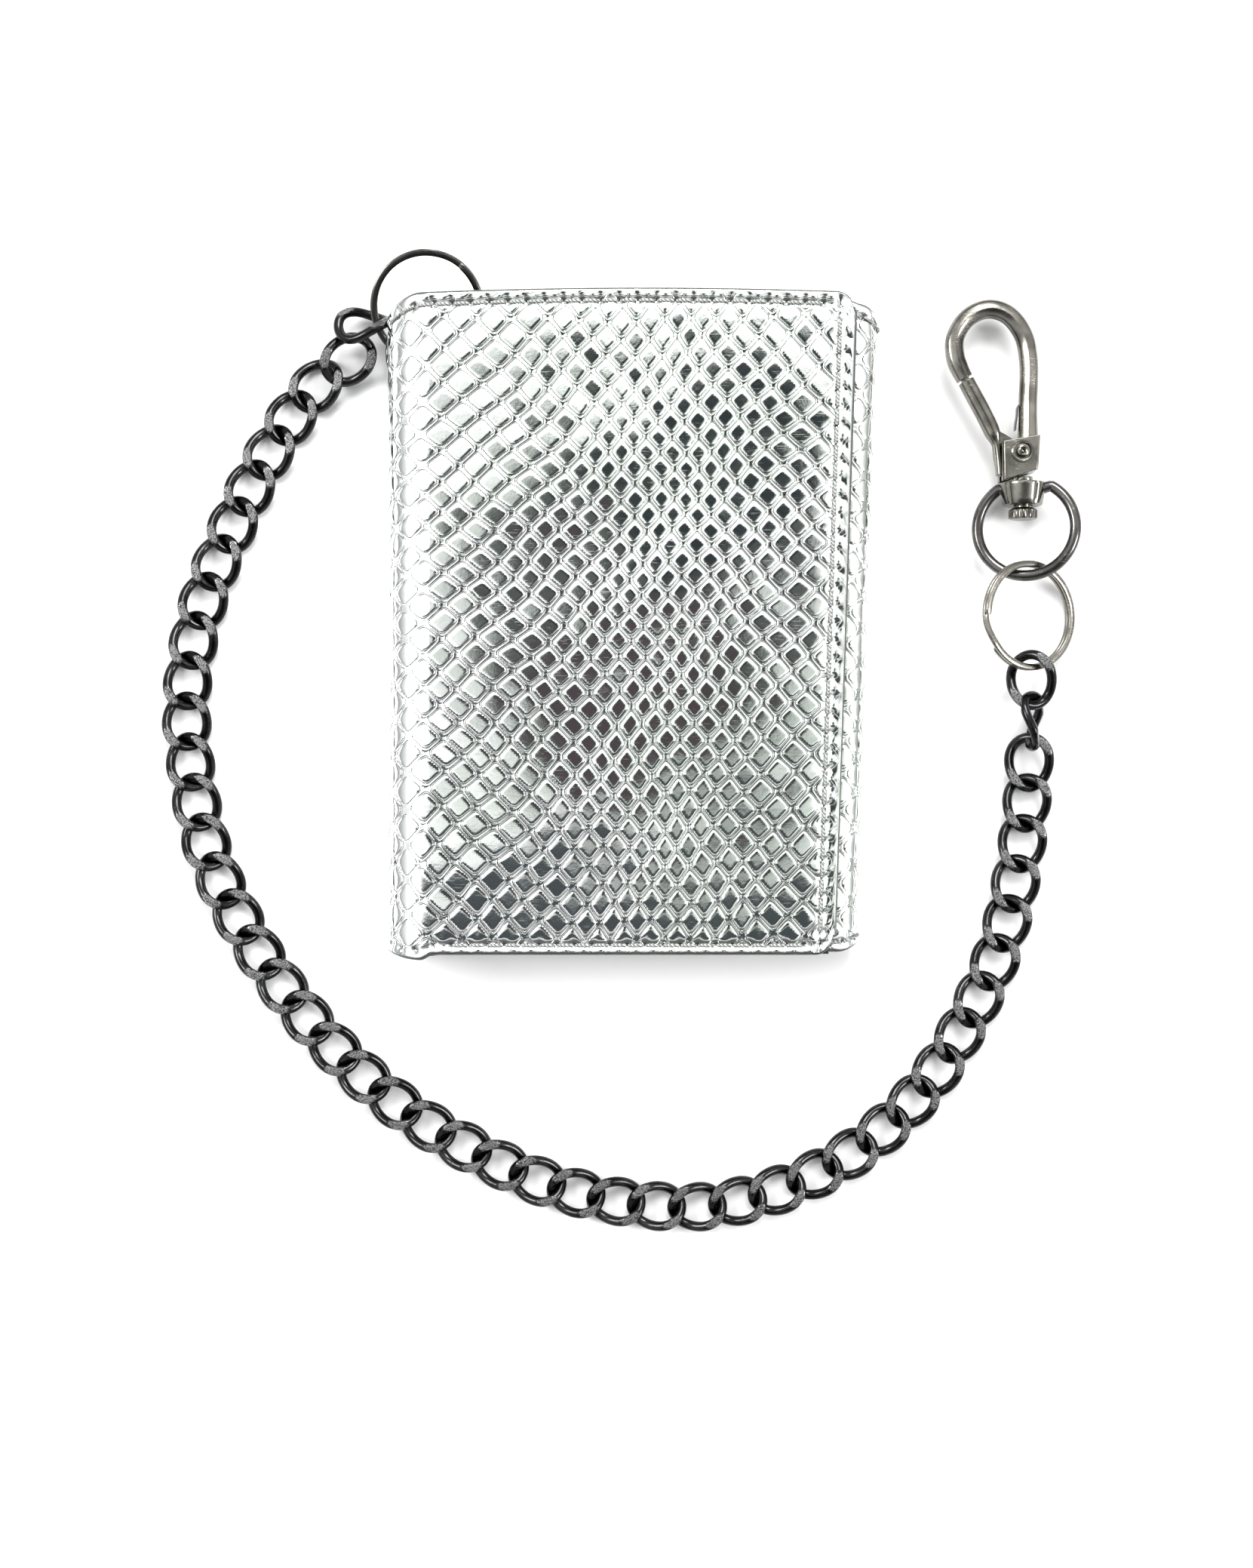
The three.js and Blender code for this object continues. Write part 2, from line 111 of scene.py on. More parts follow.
def turn(axis: int, degrees: float) -> np.ndarray:
    """Matrix of a right-handed turn.

    Args:
        axis: 0, 1 or 2 for X, Y or Z.
        degrees: How far to turn.

    Returns:
        The 3 × 3 matrix.
    """
    c, s = np.cos(np.radians(degrees)), np.sin(np.radians(degrees))
    matrix = np.eye(3)
    a, b = (axis + 1) % 3, (axis + 2) % 3
    matrix[a, a] = matrix[b, b] = c
    matrix[a, b], matrix[b, a] = -s, s
    return matrix


def spline(points: np.ndarray, count: int) -> np.ndarray:
    """Centripetal Catmull-Rom curve through points, at count evenly spaced places.

    Each span is the cubic Hermite curve whose end slopes come from knots spaced by the square
    root of the distance between neighbours; the places are then spread evenly by length.

    Args:
        points: The points to pass through, one a row.
        count: How many places to return.

    Returns:
        The places, one a row.
    """
    ends = np.vstack([2 * points[0] - points[1], points, 2 * points[-1] - points[-2]])
    gap = np.sqrt(np.linalg.norm(np.diff(ends, axis=0), axis=1))[:, None]
    p0, p1, p2, p3 = ends[:-3], ends[1:-2], ends[2:-1], ends[3:]
    d0, d1, d2 = gap[:-2], gap[1:-1], gap[2:]
    m1 = ((p1 - p0) / d0 - (p2 - p0) / (d0 + d1) + (p2 - p1) / d1) * d1
    m2 = ((p2 - p1) / d1 - (p3 - p1) / (d1 + d2) + (p3 - p2) / d2) * d1
    t = np.linspace(0, 1, SPAN_STEPS, endpoint=False)[None, :, None]
    p1, p2, m1, m2 = (v[:, None, :] for v in (p1, p2, m1, m2))
    curve = (
        p1 + m1 * t + (-3 * p1 + 3 * p2 - 2 * m1 - m2) * t**2
        + (2 * p1 - 2 * p2 + m1 + m2) * t**3
    )
    dense = np.vstack([curve.reshape(-1, points.shape[1]), points[-1]])
    along = np.concatenate([[0], np.cumsum(np.linalg.norm(np.diff(dense, axis=0), axis=1))])
    places = np.linspace(0, along[-1], count)
    return np.stack([np.interp(places, along, axis) for axis in dense.T], axis=1)


# ---- meshes ---------------------------------------------------------------------------------


@dataclass
class Patch:
    """A grid of points, rows by columns, that becomes one closed skin of quads.

    The columns run round and meet.

    Attributes:
        points: Rows × columns × 3, millimetres.
        loop: The rows run round and meet.
        cap: How the first and last rows are closed.
        material: Index of its material on the piece.
        values: Point attributes, each rows × columns.
        pattern: Pattern coordinates, rows × columns × 2.
    """

    points: np.ndarray
    loop: bool = False
    cap: Cap = Cap.FAN
    material: int = 0
    values: dict[str, np.ndarray] = field(default_factory=dict)
    pattern: np.ndarray | None = None

    def faces(self) -> tuple[np.ndarray, list[np.ndarray], np.ndarray]:
        """Join neighbours in the grid and close its ends, all facing outwards.

        Returns:
            The points as a list, the faces by corner count, and the rows of the points that
            the attributes come from.
        """
        rows, columns = self.points.shape[:2]
        points = self.points.reshape(-1, 3)
        source = np.arange(len(points))
        i = np.arange(rows if self.loop else rows - 1)[:, None]
        j = np.arange(columns)[None, :]
        down, right = (i + 1) % rows, (j + 1) % columns
        quads = np.stack(
            [i * columns + j, i * columns + right, down * columns + right, down * columns + j],
            axis=-1,
        ).reshape(-1, 4)
        faces = [quads]
        if not self.loop and self.cap is Cap.FAN:
            around = np.arange(columns)
            for row, forward in ((0, False), (rows - 1, True)):
                centre = len(points)
                points = np.vstack([points, self.points[row].mean(axis=0)])
                source = np.append(source, row * columns)
                first, second = row * columns + around, row * columns + np.roll(around, -1)
                pair = (first, second) if forward else (second, first)
                faces.append(np.stack([*pair, np.full(columns, centre)], axis=-1))
        elif not self.loop and self.cap is Cap.POLYGON:
            around = np.arange(columns)
            faces += [around[None, ::-1], (rows - 1) * columns + around[None, :]]
        if self.volume(points, faces) < 0:
            faces = [f[:, ::-1] for f in faces]
        return points, faces, source

    @staticmethod
    def volume(points: np.ndarray, faces: list[np.ndarray]) -> float:
        """Sum of the signed tetrahedra from the middle to every face.

        Args:
            points: The points, one a row.
            faces: The faces by corner count.

        Returns:
            A number that is positive where the faces face outwards.
        """
        total = 0.0
        middle = points.mean(axis=0)
        for group in faces:
            corner = points[group] - middle
            for k in range(1, group.shape[1] - 1):
                cross = np.cross(corner[:, k], corner[:, k + 1])
                total += float(np.einsum("ij,ij->", corner[:, 0], cross))
        return total


def build_piece(
    name: str,
    patches: Sequence[Patch],
    materials: Sequence[bpy.types.Material],
    sharp: float = 50.0,
) -> bpy.types.Object:
    """Make one object from patches, with its place in its mesh.

    Args:
        name: The piece's name.
        patches: The grids it is made from.
        materials: Its materials, which the patches name by index.
        sharp: Edges sharper than this many degrees stay crisp.

    Returns:
        The object, at the origin.
    """
    points, loops, sizes, slots, uv = [], [], [], [], []
    values: dict[str, list[np.ndarray]] = {}
    names = {key for patch in patches for key in patch.values}
    patterned = any(patch.pattern is not None for patch in patches)
    offset = 0
    for patch in patches:
        place, faces, source = patch.faces()
        points.append(place)
        for group in faces:
            loops.append((group + offset).ravel())
            sizes.append(np.full(len(group), group.shape[1]))
            slots.append(np.full(len(group), patch.material))
        for key in names:
            flat = patch.values.get(key, np.zeros(patch.points.shape[:2])).ravel()
            values.setdefault(key, []).append(flat[source])
        if patterned:
            flat = np.zeros((len(source), 2))
            if patch.pattern is not None:
                flat = patch.pattern.reshape(-1, 2)[source]
            uv.append(flat)
        offset += len(place)
    corner, count = np.concatenate(loops), np.concatenate(sizes)
    mesh = bpy.data.meshes.new(name)
    mesh.vertices.add(offset)
    mesh.vertices.foreach_set("co", (np.vstack(points) * MM).astype(np.float32).ravel())
    mesh.loops.add(len(corner))
    mesh.loops.foreach_set("vertex_index", corner.astype(np.int32))
    mesh.polygons.add(len(count))
    start = np.concatenate([[0], np.cumsum(count)[:-1]])
    mesh.polygons.foreach_set("loop_start", start.astype(np.int32))
    mesh.polygons.foreach_set("loop_total", count.astype(np.int32))
    mesh.polygons.foreach_set("material_index", np.concatenate(slots).astype(np.int32))
    mesh.update(calc_edges=True)
    if patterned:
        layer = mesh.uv_layers.new(name="scales")
        layer.data.foreach_set("uv", np.vstack(uv)[corner].astype(np.float32).ravel())
    for key, parts in values.items():
        attribute = mesh.attributes.new(key, "FLOAT", "POINT")
        attribute.data.foreach_set("value", np.concatenate(parts).astype(np.float32))
    mesh.shade_smooth()
    mesh.set_sharp_from_angle(angle=np.radians(sharp))
    mesh.validate()
    for material in materials:
        mesh.materials.append(material)
    piece = bpy.data.objects.new(name, mesh)
    bpy.context.scene.collection.objects.link(piece)
    log.info("%s: %d points, %d faces", name, offset, len(count))
    return piece


def bevel(piece: bpy.types.Object, width: float) -> None:
    """Round a piece's crisp edges.

    Args:
        piece: The piece.
        width: Width of the rounding, millimetres.
    """
    modifier = piece.modifiers.new("rounded edges", "BEVEL")
    modifier.width = width * MM
    modifier.segments = BEVEL_STEPS
    modifier.limit_method = "ANGLE"
    modifier.angle_limit = np.radians(BEVEL_ANGLE)


def finish(piece: bpy.types.Object, slot: Slot, body: str, *nodes: str) -> bpy.types.Object:
    """Ride a piece on its body and hide the CAD nodes that it stands for.

    Args:
        piece: The piece.
        slot: The material slot of the record; not used.
        body: The body that it moves with.
        nodes: The CAD nodes that it replaces.

    Returns:
        The piece.
    """
    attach(piece, body)
    if nodes:
        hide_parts(*nodes)
    return piece


def tube(path: np.ndarray, section: np.ndarray, up: np.ndarray, closed: bool = False) -> np.ndarray:
    """Carry a flat section along a path.

    Each row is the path's point plus the section's first number along the side direction
    (travel × up) and its second along the direction square to both.

    Args:
        path: Points, one a row.
        section: Columns × 2, or rows × columns × 2 where it changes along the path.
        up: The direction, or one a row, that the section's second number keeps to.
        closed: The path meets itself.

    Returns:
        Rows × columns × 3.
    """
    if closed:
        travel = unit(np.roll(path, -1, axis=0) - np.roll(path, 1, axis=0))
    else:
        travel = unit(np.gradient(path, axis=0))
    side = unit(np.cross(travel, np.broadcast_to(up, path.shape)))
    over = np.cross(side, travel)
    section = np.broadcast_to(section, (len(path), *section.shape[-2:]))
    return (
        path[:, None, :]
        + section[..., :1] * side[:, None, :]
        + section[..., 1:] * over[:, None, :]
    )


def oval(half_width: float, half_height: float, sides: int, power: float = 2.0) -> np.ndarray:
    """Superellipse |x/w|ⁿ + |y/h|ⁿ = 1.

    Args:
        half_width: w.
        half_height: h.
        sides: How many points.
        power: n.

    Returns:
        Sides × 2.
    """
    angle = np.linspace(0, TAU, sides, endpoint=False)
    c, s = np.cos(angle), np.sin(angle)
    return np.stack(
        [
            half_width * np.sign(c) * np.abs(c) ** (2 / power),
            half_height * np.sign(s) * np.abs(s) ** (2 / power),
        ],
        axis=-1,
    )


def polygon(corners: Sequence[tuple[float, float]], each: int, soften: int) -> np.ndarray:
    """Closed outline through corners, each side cut into equal steps, then averaged.

    Args:
        corners: The outline's corners in order.
        each: Steps on each side.
        soften: Rounds of averaging each point with its two neighbours.

    Returns:
        Points × 2.
    """
    corner = np.array(corners, float)
    t = np.linspace(0, 1, each, endpoint=False)[None, :, None]
    outline = corner[:, None] * (1 - t) + np.roll(corner, -1, axis=0)[:, None] * t
    outline = outline.reshape(-1, 2)
    for _ in range(soften):
        outline = (np.roll(outline, 1, axis=0) + 2 * outline + np.roll(outline, -1, axis=0)) / 4
    return outline


def lathe(
    profile: Sequence[tuple[float, float]], steps: int, ripple: np.ndarray | None = None
) -> np.ndarray:
    """Turn a profile of (radius, height) round +Z.

    Args:
        profile: Radius and height in order, from one end of the axis to the other.
        steps: Columns round the axis.
        ripple: Factors on the radius, profile × steps, for a knurl.

    Returns:
        Rows × steps × 3 about the origin.
    """
    line = np.array(profile, float)
    angle = np.linspace(0, TAU, steps, endpoint=False)
    radius = line[:, :1] * (np.ones((1, steps)) if ripple is None else ripple)
    height = np.broadcast_to(line[:, 1:], radius.shape)
    return np.stack([radius * np.cos(angle), radius * np.sin(angle), height], axis=-1)


def prism(outline: np.ndarray, low: float, high: float) -> np.ndarray:
    """Two copies of a flat outline at two heights.

    Args:
        outline: Points × 2.
        low: Height of the first row.
        high: Height of the second.

    Returns:
        Two rows of points.
    """
    levels = np.array([low, high])
    flat = np.broadcast_to(outline, (2, *outline.shape))
    height = np.broadcast_to(levels[:, None, None], (2, len(outline), 1))
    return np.concatenate([flat, height], axis=-1)


def level_spline(points: Sequence[tuple[float, float]], count: int, height: float) -> np.ndarray:
    """Smooth curve through points in the XY plane, at one height.

    Args:
        points: The points to pass through.
        count: How many places to return.
        height: Their z.

    Returns:
        The places, one a row.
    """
    flat = spline(np.array(points, float), count)[:, :2]
    return np.column_stack([flat, np.full(count, height)])


# ---- shader graphs --------------------------------------------------------------------------

Value = float | bpy.types.NodeSocket
Colour = tuple[float, float, float, float]
Tone = Colour | bpy.types.NodeSocket
Wear = tuple[bpy.types.NodeSocket, bpy.types.NodeSocket]


class Graph:
    """Adds shader nodes to a tree and joins them."""

    def __init__(self, tree: bpy.types.NodeTree) -> None:
        """Keep the tree that the nodes go into."""
        self.tree = tree

    def feed(self, socket: bpy.types.NodeSocket, value: Value | Sequence[float]) -> None:
        """Join a socket to another one, or set its number or colour.

        Args:
            socket: The input.
            value: An output to join, a number or a colour.
        """
        if isinstance(value, bpy.types.NodeSocket):
            self.tree.links.new(value, socket)
        elif isinstance(value, (int, float)):
            socket.default_value = value
        else:
            socket.default_value = tuple(value)

    def node(self, kind: str, inputs: dict | None = None, **settings: object) -> bpy.types.Node:
        """Add a node.

        Args:
            kind: The node's type.
            inputs: What feeds its inputs, by name or number.
            settings: Its properties.

        Returns:
            The node.
        """
        node = self.tree.nodes.new(kind)
        for key, value in settings.items():
            setattr(node, key, value)
        for key, value in (inputs or {}).items():
            self.feed(node.inputs[key], value)
        return node

    def math(self, operation: str, a: Value, b: Value = 0.0) -> bpy.types.NodeSocket:
        """Work out one sum of two values."""
        return self.node("ShaderNodeMath", {0: a, 1: b}, operation=operation).outputs[0]

    def add(self, *terms: Value | tuple[Value, Value]) -> bpy.types.NodeSocket:
        """Add terms, each a value or a pair that is multiplied first.

        Args:
            terms: What to add, in order.

        Returns:
            The total.
        """
        total = None
        for term in terms:
            value = self.math("MULTIPLY", *term) if isinstance(term, tuple) else term
            total = value if total is None else self.math("ADD", total, value)
        return total

    def ramp(
        self, value: Value, low: float, high: float, to_low: float, to_high: float
    ) -> bpy.types.NodeSocket:
        """Map a value smoothly from low..high to to_low..to_high."""
        node = self.node(
            "ShaderNodeMapRange",
            {"Value": value, "From Min": low, "From Max": high, "To Min": to_low, "To Max": to_high},
            interpolation_type="SMOOTHSTEP",
        )
        return node.outputs["Result"]

    def blend(self, factor: Value, a: Tone, b: Tone) -> bpy.types.NodeSocket:
        """Mix two colours.

        Args:
            factor: The share of the second colour.
            a: The first colour.
            b: The second colour.

        Returns:
            The mixed colour.
        """
        node = self.node("ShaderNodeMix", {"Factor": factor}, data_type="RGBA")
        colour_a, colour_b = [s for s in node.inputs if s.type == "RGBA"]
        self.feed(colour_a, a)
        self.feed(colour_b, b)
        return next(s for s in node.outputs if s.type == "RGBA")

    def bump(self, height: Value, strength: float, distance: float) -> bpy.types.NodeSocket:
        """Normal that is tipped by a height, with its full rise in metres."""
        node = self.node(
            "ShaderNodeBump", {"Height": height, "Strength": strength, "Distance": distance}
        )
        return node.outputs["Normal"]

    def attribute(self, name: str) -> bpy.types.NodeSocket:
        """A point attribute of the mesh."""
        return self.node("ShaderNodeAttribute", attribute_name=name).outputs["Fac"]

    def noise(
        self, where: Value, scale: float, detail: float = 3.0, rough: float = 0.5
    ) -> bpy.types.NodeSocket:
        """Soft noise in 0..1 at this many cycles a metre."""
        node = self.node(
            "ShaderNodeTexNoise",
            {"Vector": where, "Scale": scale, "Detail": detail, "Roughness": rough},
        )
        return node.outputs["Fac"]

    def place(self) -> bpy.types.NodeSocket:
        """Object coordinates, in metres."""
        return self.node("ShaderNodeTexCoord").outputs["Object"]


def colour(red: float, green: float, blue: float) -> Colour:
    """A colour with full alpha."""
    return (red, green, blue, 1.0)


class Effects:
    """Shader node groups that several finishes share."""

    def __init__(self) -> None:
        """Build each group once."""
        self.grain = self.make_grain()
        self.wear = self.make_wear()

    @staticmethod
    def start(
        name: str, inputs: dict[str, float], outputs: Sequence[str]
    ) -> tuple[Graph, bpy.types.Node, bpy.types.Node]:
        """Open a node group with a vector input called Place.

        Args:
            name: The group's name.
            inputs: Its numbers and their defaults.
            outputs: Names of what it gives.

        Returns:
            Its graph, its input node and its output node.
        """
        tree = bpy.data.node_groups.new(name, "ShaderNodeTree")
        tree.interface.new_socket("Place", in_out="INPUT", socket_type="NodeSocketVector")
        for key, value in inputs.items():
            socket = tree.interface.new_socket(key, in_out="INPUT", socket_type="NodeSocketFloat")
            socket.default_value = value
        for key in outputs:
            tree.interface.new_socket(key, in_out="OUTPUT", socket_type="NodeSocketFloat")
        graph = Graph(tree)
        return graph, graph.node("NodeGroupInput"), graph.node("NodeGroupOutput")

    def worn(self, graph: Graph, here: bpy.types.NodeSocket) -> Wear:
        """Put the handling wear into a material: its scratches and its smears."""
        outputs = graph.node("ShaderNodeGroup", {"Place": here}, node_tree=self.wear).outputs
        return outputs["Scratch"], outputs["Smear"]

    def make_grain(self) -> bpy.types.NodeTree:
        """Pebbled leather grain: cells with a soft crease between them, over fine noise.

        Returns:
            A group with Place and Scale, and Height and Crease.
        """
        graph, given, out = self.start("leather grain", {"Scale": 1500.0}, ("Height", "Crease"))
        warp = graph.node(
            "ShaderNodeTexNoise", {"Vector": given.outputs["Place"], "Scale": 700.0, "Detail": 2.0}
        )
        shift = graph.node(
            "ShaderNodeVectorMath", {0: warp.outputs["Color"], 1: (0.0008, 0.0008, 0.0008)},
            operation="MULTIPLY",
        )
        moved = graph.node(
            "ShaderNodeVectorMath", {0: given.outputs["Place"], 1: shift.outputs[0]},
            operation="ADD",
        )
        cells = graph.node(
            "ShaderNodeTexVoronoi",
            {"Vector": moved.outputs[0], "Scale": given.outputs["Scale"]},
            feature="DISTANCE_TO_EDGE",
        )
        crease = graph.ramp(cells.outputs["Distance"], 0.0, 0.22, 1.0, 0.0)
        fine = graph.noise(given.outputs["Place"], 6000.0, 2.0)
        height = graph.math("SUBTRACT", graph.math("MULTIPLY", fine, 0.25), crease)
        graph.feed(out.inputs["Height"], height)
        graph.feed(out.inputs["Crease"], crease)
        return graph.tree

    def make_wear(self) -> bpy.types.NodeTree:
        """Handling marks: hairline scratches in two directions and cloudy smears.

        Returns:
            A group with Place and Scale, and Scratch and Smear.
        """
        graph, given, out = self.start("handling wear", {"Scale": 1.0}, ("Scratch", "Smear"))
        marks = []
        for angle, stretch in ((0.5, 0.05), (2.1, 0.08)):
            turned = graph.node(
                "ShaderNodeMapping",
                {
                    "Vector": given.outputs["Place"], "Rotation": (0.3, 0.2, angle),
                    "Scale": (stretch, 1.0, 1.0),
                },
            )
            lines = graph.noise(turned.outputs["Vector"], 4200.0, 2.0, 0.6)
            marks.append(graph.ramp(lines, 0.60, 0.68, 0.0, 1.0))
        broken = graph.ramp(graph.noise(given.outputs["Place"], 160.0, 2.0), 0.46, 0.60, 0.0, 1.0)
        scratch = graph.math("MULTIPLY", graph.math("MAXIMUM", *marks), broken)
        smear = graph.noise(given.outputs["Place"], 55.0, 4.0, 0.6)
        graph.feed(out.inputs["Scratch"], graph.math("MULTIPLY", scratch, given.outputs["Scale"]))
        graph.feed(out.inputs["Smear"], smear)
        return graph.tree


def open_material(name: str) -> tuple[bpy.types.Material, Graph, bpy.types.Node]:
    """Start a material with one Principled shader.

    Args:
        name: The material's name.

    Returns:
        The material, its graph and its shader.
    """
    material = bpy.data.materials.new(name)
    material.use_nodes = True
    material.node_tree.nodes.clear()
    graph = Graph(material.node_tree)
    shader = graph.node("ShaderNodeBsdfPrincipled")
    output = graph.node("ShaderNodeOutputMaterial")
    graph.feed(output.inputs["Surface"], shader.outputs["BSDF"])
    return material, graph, shader


@dataclass(frozen=True)
class SilverSkin:
    """Mirror-silver foil leather: flat scales, a raised web between them and fine creases."""

    pale: Colour = colour(0.93, 0.95, 0.94)
    green: Colour = colour(0.84, 0.89, 0.85)
    # painted shade: near-black tone for the sunken lines beside the web and for the needle holes
    recess_shade: Colour = colour(0.035, 0.038, 0.038)
    edge: Colour = colour(0.12, 0.125, 0.12)
    lining: Colour = colour(0.014, 0.014, 0.015)
    # painted shadow: near-black tone inside the eyelet's hole
    hole_shadow: Colour = colour(0.01, 0.01, 0.01)
    web_half: float = 0.062
    line_at: float = 0.082
    line_half: float = 0.019
    web_height: float = 0.45
    wrinkle_height: float = 0.07
    hammer_height: float = 0.012
    relief: float = 0.00010
    gloss: float = 0.03

    @staticmethod
    def border(graph: Graph) -> bpy.types.NodeSocket:
        """Distance from a scale's border in parts of its width: 0 at the border.

        The scale is a unit square of pattern coordinates with rounded corners; the distance
        is a half less the fifth-power mean of the two offsets from its middle, and no more
        than the distance from a line that cuts its left and right corners.

        Args:
            graph: The material's graph.

        Returns:
            The distance.
        """
        given = graph.node("ShaderNodeUVMap", uv_map="scales").outputs["UV"]
        split = graph.node("ShaderNodeSeparateXYZ", {"Vector": given})
        parts, powers = [], []
        for axis in ("X", "Y"):
            parts.append(graph.math("SUBTRACT", graph.math("FRACT", split.outputs[axis]), 0.5))
            powers.append(graph.math("POWER", graph.math("ABSOLUTE", parts[-1]), SCALE_POWER))
        mean = graph.math("POWER", graph.math("ADD", *powers), 1 / SCALE_POWER)
        sideways = graph.math("ABSOLUTE", graph.math("ADD", *parts))
        cut = graph.math("MULTIPLY", graph.math("SUBTRACT", SCALE_CUT_AT, sideways), SCALE_CUT_SLOPE)
        return graph.math("MINIMUM", graph.math("SUBTRACT", 0.5, mean), cut)

    def make(self, effects: Effects) -> bpy.types.Material:
        """Build the material.

        The web is a rounded rib, a sharp line runs on each side of it, and the scale beyond is flat. Fine
        noise and creases lie over both; the sunken lines and the needle holes are darkened as painted
        shade, the eyelet's hole is painted near black as painted shadow, and the leather's cut edges and
        black inner face have tones of their own.

        Args:
            effects: The shared node groups.

        Returns:
            The material.
        """
        material, graph, shader = open_material("silver embossed foil leather")
        here = graph.place()
        scratch, smear = effects.worn(graph, here)
        mask, cut, hole, prick, inner = (
            graph.attribute(name) for name in ("embossed", "cut_edge", "hole", "prick", "lining")
        )
        near = self.border(graph)
        rib = graph.ramp(near, 0.0, self.web_half, 1.0, 0.0)
        offset = graph.math("ABSOLUTE", graph.math("SUBTRACT", near, self.line_at))
        line = graph.ramp(offset, 0.0, self.line_half, 1.0, 0.0)
        ridge = graph.math("SUBTRACT", graph.math("MULTIPLY", rib, self.web_height), line)
        wrinkle = graph.noise(here, 900.0, 4.0, 0.62)
        hammer = graph.noise(here, 2600.0, 2.0)
        fine = graph.add((wrinkle, self.wrinkle_height), (hammer, self.hammer_height))
        height = graph.math("ADD", graph.math("MULTIPLY", ridge, mask), fine)
        graph.feed(shader.inputs["Normal"], graph.bump(height, 1.0, self.relief))
        patches = graph.ramp(graph.noise(here, 26.0, 2.0), 0.42, 0.62, 0.0, 1.0)
        tone = graph.blend(patches, self.pale, self.green)
        # painted shade: the sunken lines on each side of the web are darkened
        sunken_line_shade = graph.math("MULTIPLY", graph.math("MULTIPLY", line, mask), 0.95)
        tone = graph.blend(sunken_line_shade, tone, self.recess_shade)
        tone = graph.blend(cut, tone, self.edge)
        # painted shadow: the eyelet's hole is painted near black and not metallic
        tone = graph.blend(hole, tone, self.hole_shadow)
        # painted shade: the needle holes are darkened
        tone = graph.blend(graph.math("MULTIPLY", prick, 0.9), tone, self.recess_shade)
        graph.feed(shader.inputs["Base Color"], graph.blend(inner, tone, self.lining))
        rough = graph.add(self.gloss, (smear, 0.08), (scratch, 0.12), (cut, 0.25), (inner, 0.35))
        graph.feed(shader.inputs["Roughness"], rough)
        dull = graph.math("MAXIMUM", hole, inner)
        graph.feed(shader.inputs["Metallic"], graph.ramp(dull, 0.0, 1.0, 1.0, 0.0))
        return material


@dataclass(frozen=True)
class LinerLeather:
    """Black pebbled leather, slightly rubbed on its high grain."""

    deep: Colour = colour(0.012, 0.012, 0.013)
    rubbed: Colour = colour(0.045, 0.044, 0.043)
    scale: float = 1400.0

    def make(self, effects: Effects) -> bpy.types.Material:
        """Build the material: dark creases, paler grain tops and a patchy dull sheen.

        Args:
            effects: The shared node groups.

        Returns:
            The material.
        """
        material, graph, shader = open_material("black pebbled liner leather")
        here = graph.place()
        grain = graph.node(
            "ShaderNodeGroup", {"Place": here, "Scale": self.scale}, node_tree=effects.grain
        )
        crease = grain.outputs["Crease"]
        rub = graph.ramp(effects.worn(graph, here)[1], 0.40, 0.70, 0.0, 0.8)
        top = graph.math("SUBTRACT", 1.0, crease)
        tone = graph.blend(graph.math("MULTIPLY", top, rub), self.deep, self.rubbed)
        graph.feed(shader.inputs["Base Color"], tone)
        graph.feed(shader.inputs["Roughness"], graph.add(0.50, (crease, 0.22), (rub, -0.10)))
        graph.feed(shader.inputs["Normal"], graph.bump(grain.outputs["Height"], 0.8, 0.00012))
        return material


@dataclass(frozen=True)
class Thread:
    """Twisted sewing thread."""

    name: str
    light: Colour
    # dark: painted shade in the valleys between the plies
    dark: Colour

    def make(self, effects: Effects) -> bpy.types.Material:
        """Build the material: slanted ply lines with a soft fuzz; the darker tone in the valleys between
        plies is painted shade.

        Args:
            effects: The shared node groups.

        Returns:
            The material.
        """
        material, graph, shader = open_material(self.name)
        here = graph.place()
        ply = graph.node(
            "ShaderNodeTexWave", {"Vector": here, "Scale": 900.0, "Distortion": 1.5, "Detail": 1.0},
            wave_type="BANDS", bands_direction="DIAGONAL",
        ).outputs["Fac"]
        fuzz = graph.noise(here, 9000.0, 2.0)
        # painted shade: the dark tone follows the ply bump's valleys
        graph.feed(shader.inputs["Base Color"], graph.blend(ply, self.dark, self.light))
        graph.feed(shader.inputs["Roughness"], graph.add(0.35, (effects.worn(graph, here)[1], 0.3)))
        graph.feed(shader.inputs["Normal"], graph.bump(graph.add(ply, (fuzz, 0.5)), 0.7, 0.00006))
        return material


@dataclass(frozen=True)
class PlatedMetal:
    """Plated and polished metal with hairlines, smears and, where marked, ground facets."""

    name: str
    tone: Colour
    shade: Colour
    ground: Colour
    roughness: float
    ripple: float = 0.3

    def make(self, effects: Effects) -> bpy.types.Material:
        """Build the material.

        Colour drifts between tone and shade in soft patches; scratches and the ground facets
        are rougher, and the facets carry a speckle of fine cuts.

        Args:
            effects: The shared node groups.

        Returns:
            The material.
        """
        material, graph, shader = open_material(self.name)
        here = graph.place()
        scratch, smear = effects.worn(graph, here)
        facet = graph.attribute("ground")
        patch = graph.ramp(graph.noise(here, 240.0, 3.0), 0.38, 0.66, 0.0, 1.0)
        speckle = graph.ramp(graph.noise(here, 3800.0, 3.0, 0.7), 0.40, 0.62, 0.0, 1.0)
        plain = graph.blend(patch, self.tone, self.shade)
        cut = graph.blend(speckle, self.ground, self.tone)
        graph.feed(shader.inputs["Base Color"], graph.blend(facet, plain, cut))
        shader.inputs["Metallic"].default_value = 1.0
        sparkle = graph.ramp(speckle, 0.0, 1.0, 0.05, 0.3)
        rough = graph.add(self.roughness, (smear, 0.12), (scratch, 0.20), (facet, sparkle))
        graph.feed(shader.inputs["Roughness"], rough)
        orange_peel = graph.noise(here, 1100.0, 2.0)
        cuts = graph.math("MULTIPLY", speckle, facet)
        height = graph.add((orange_peel, self.ripple), (cuts, 0.9), (scratch, -0.25))
        graph.feed(shader.inputs["Normal"], graph.bump(height, 0.6, 0.00005))
        return material


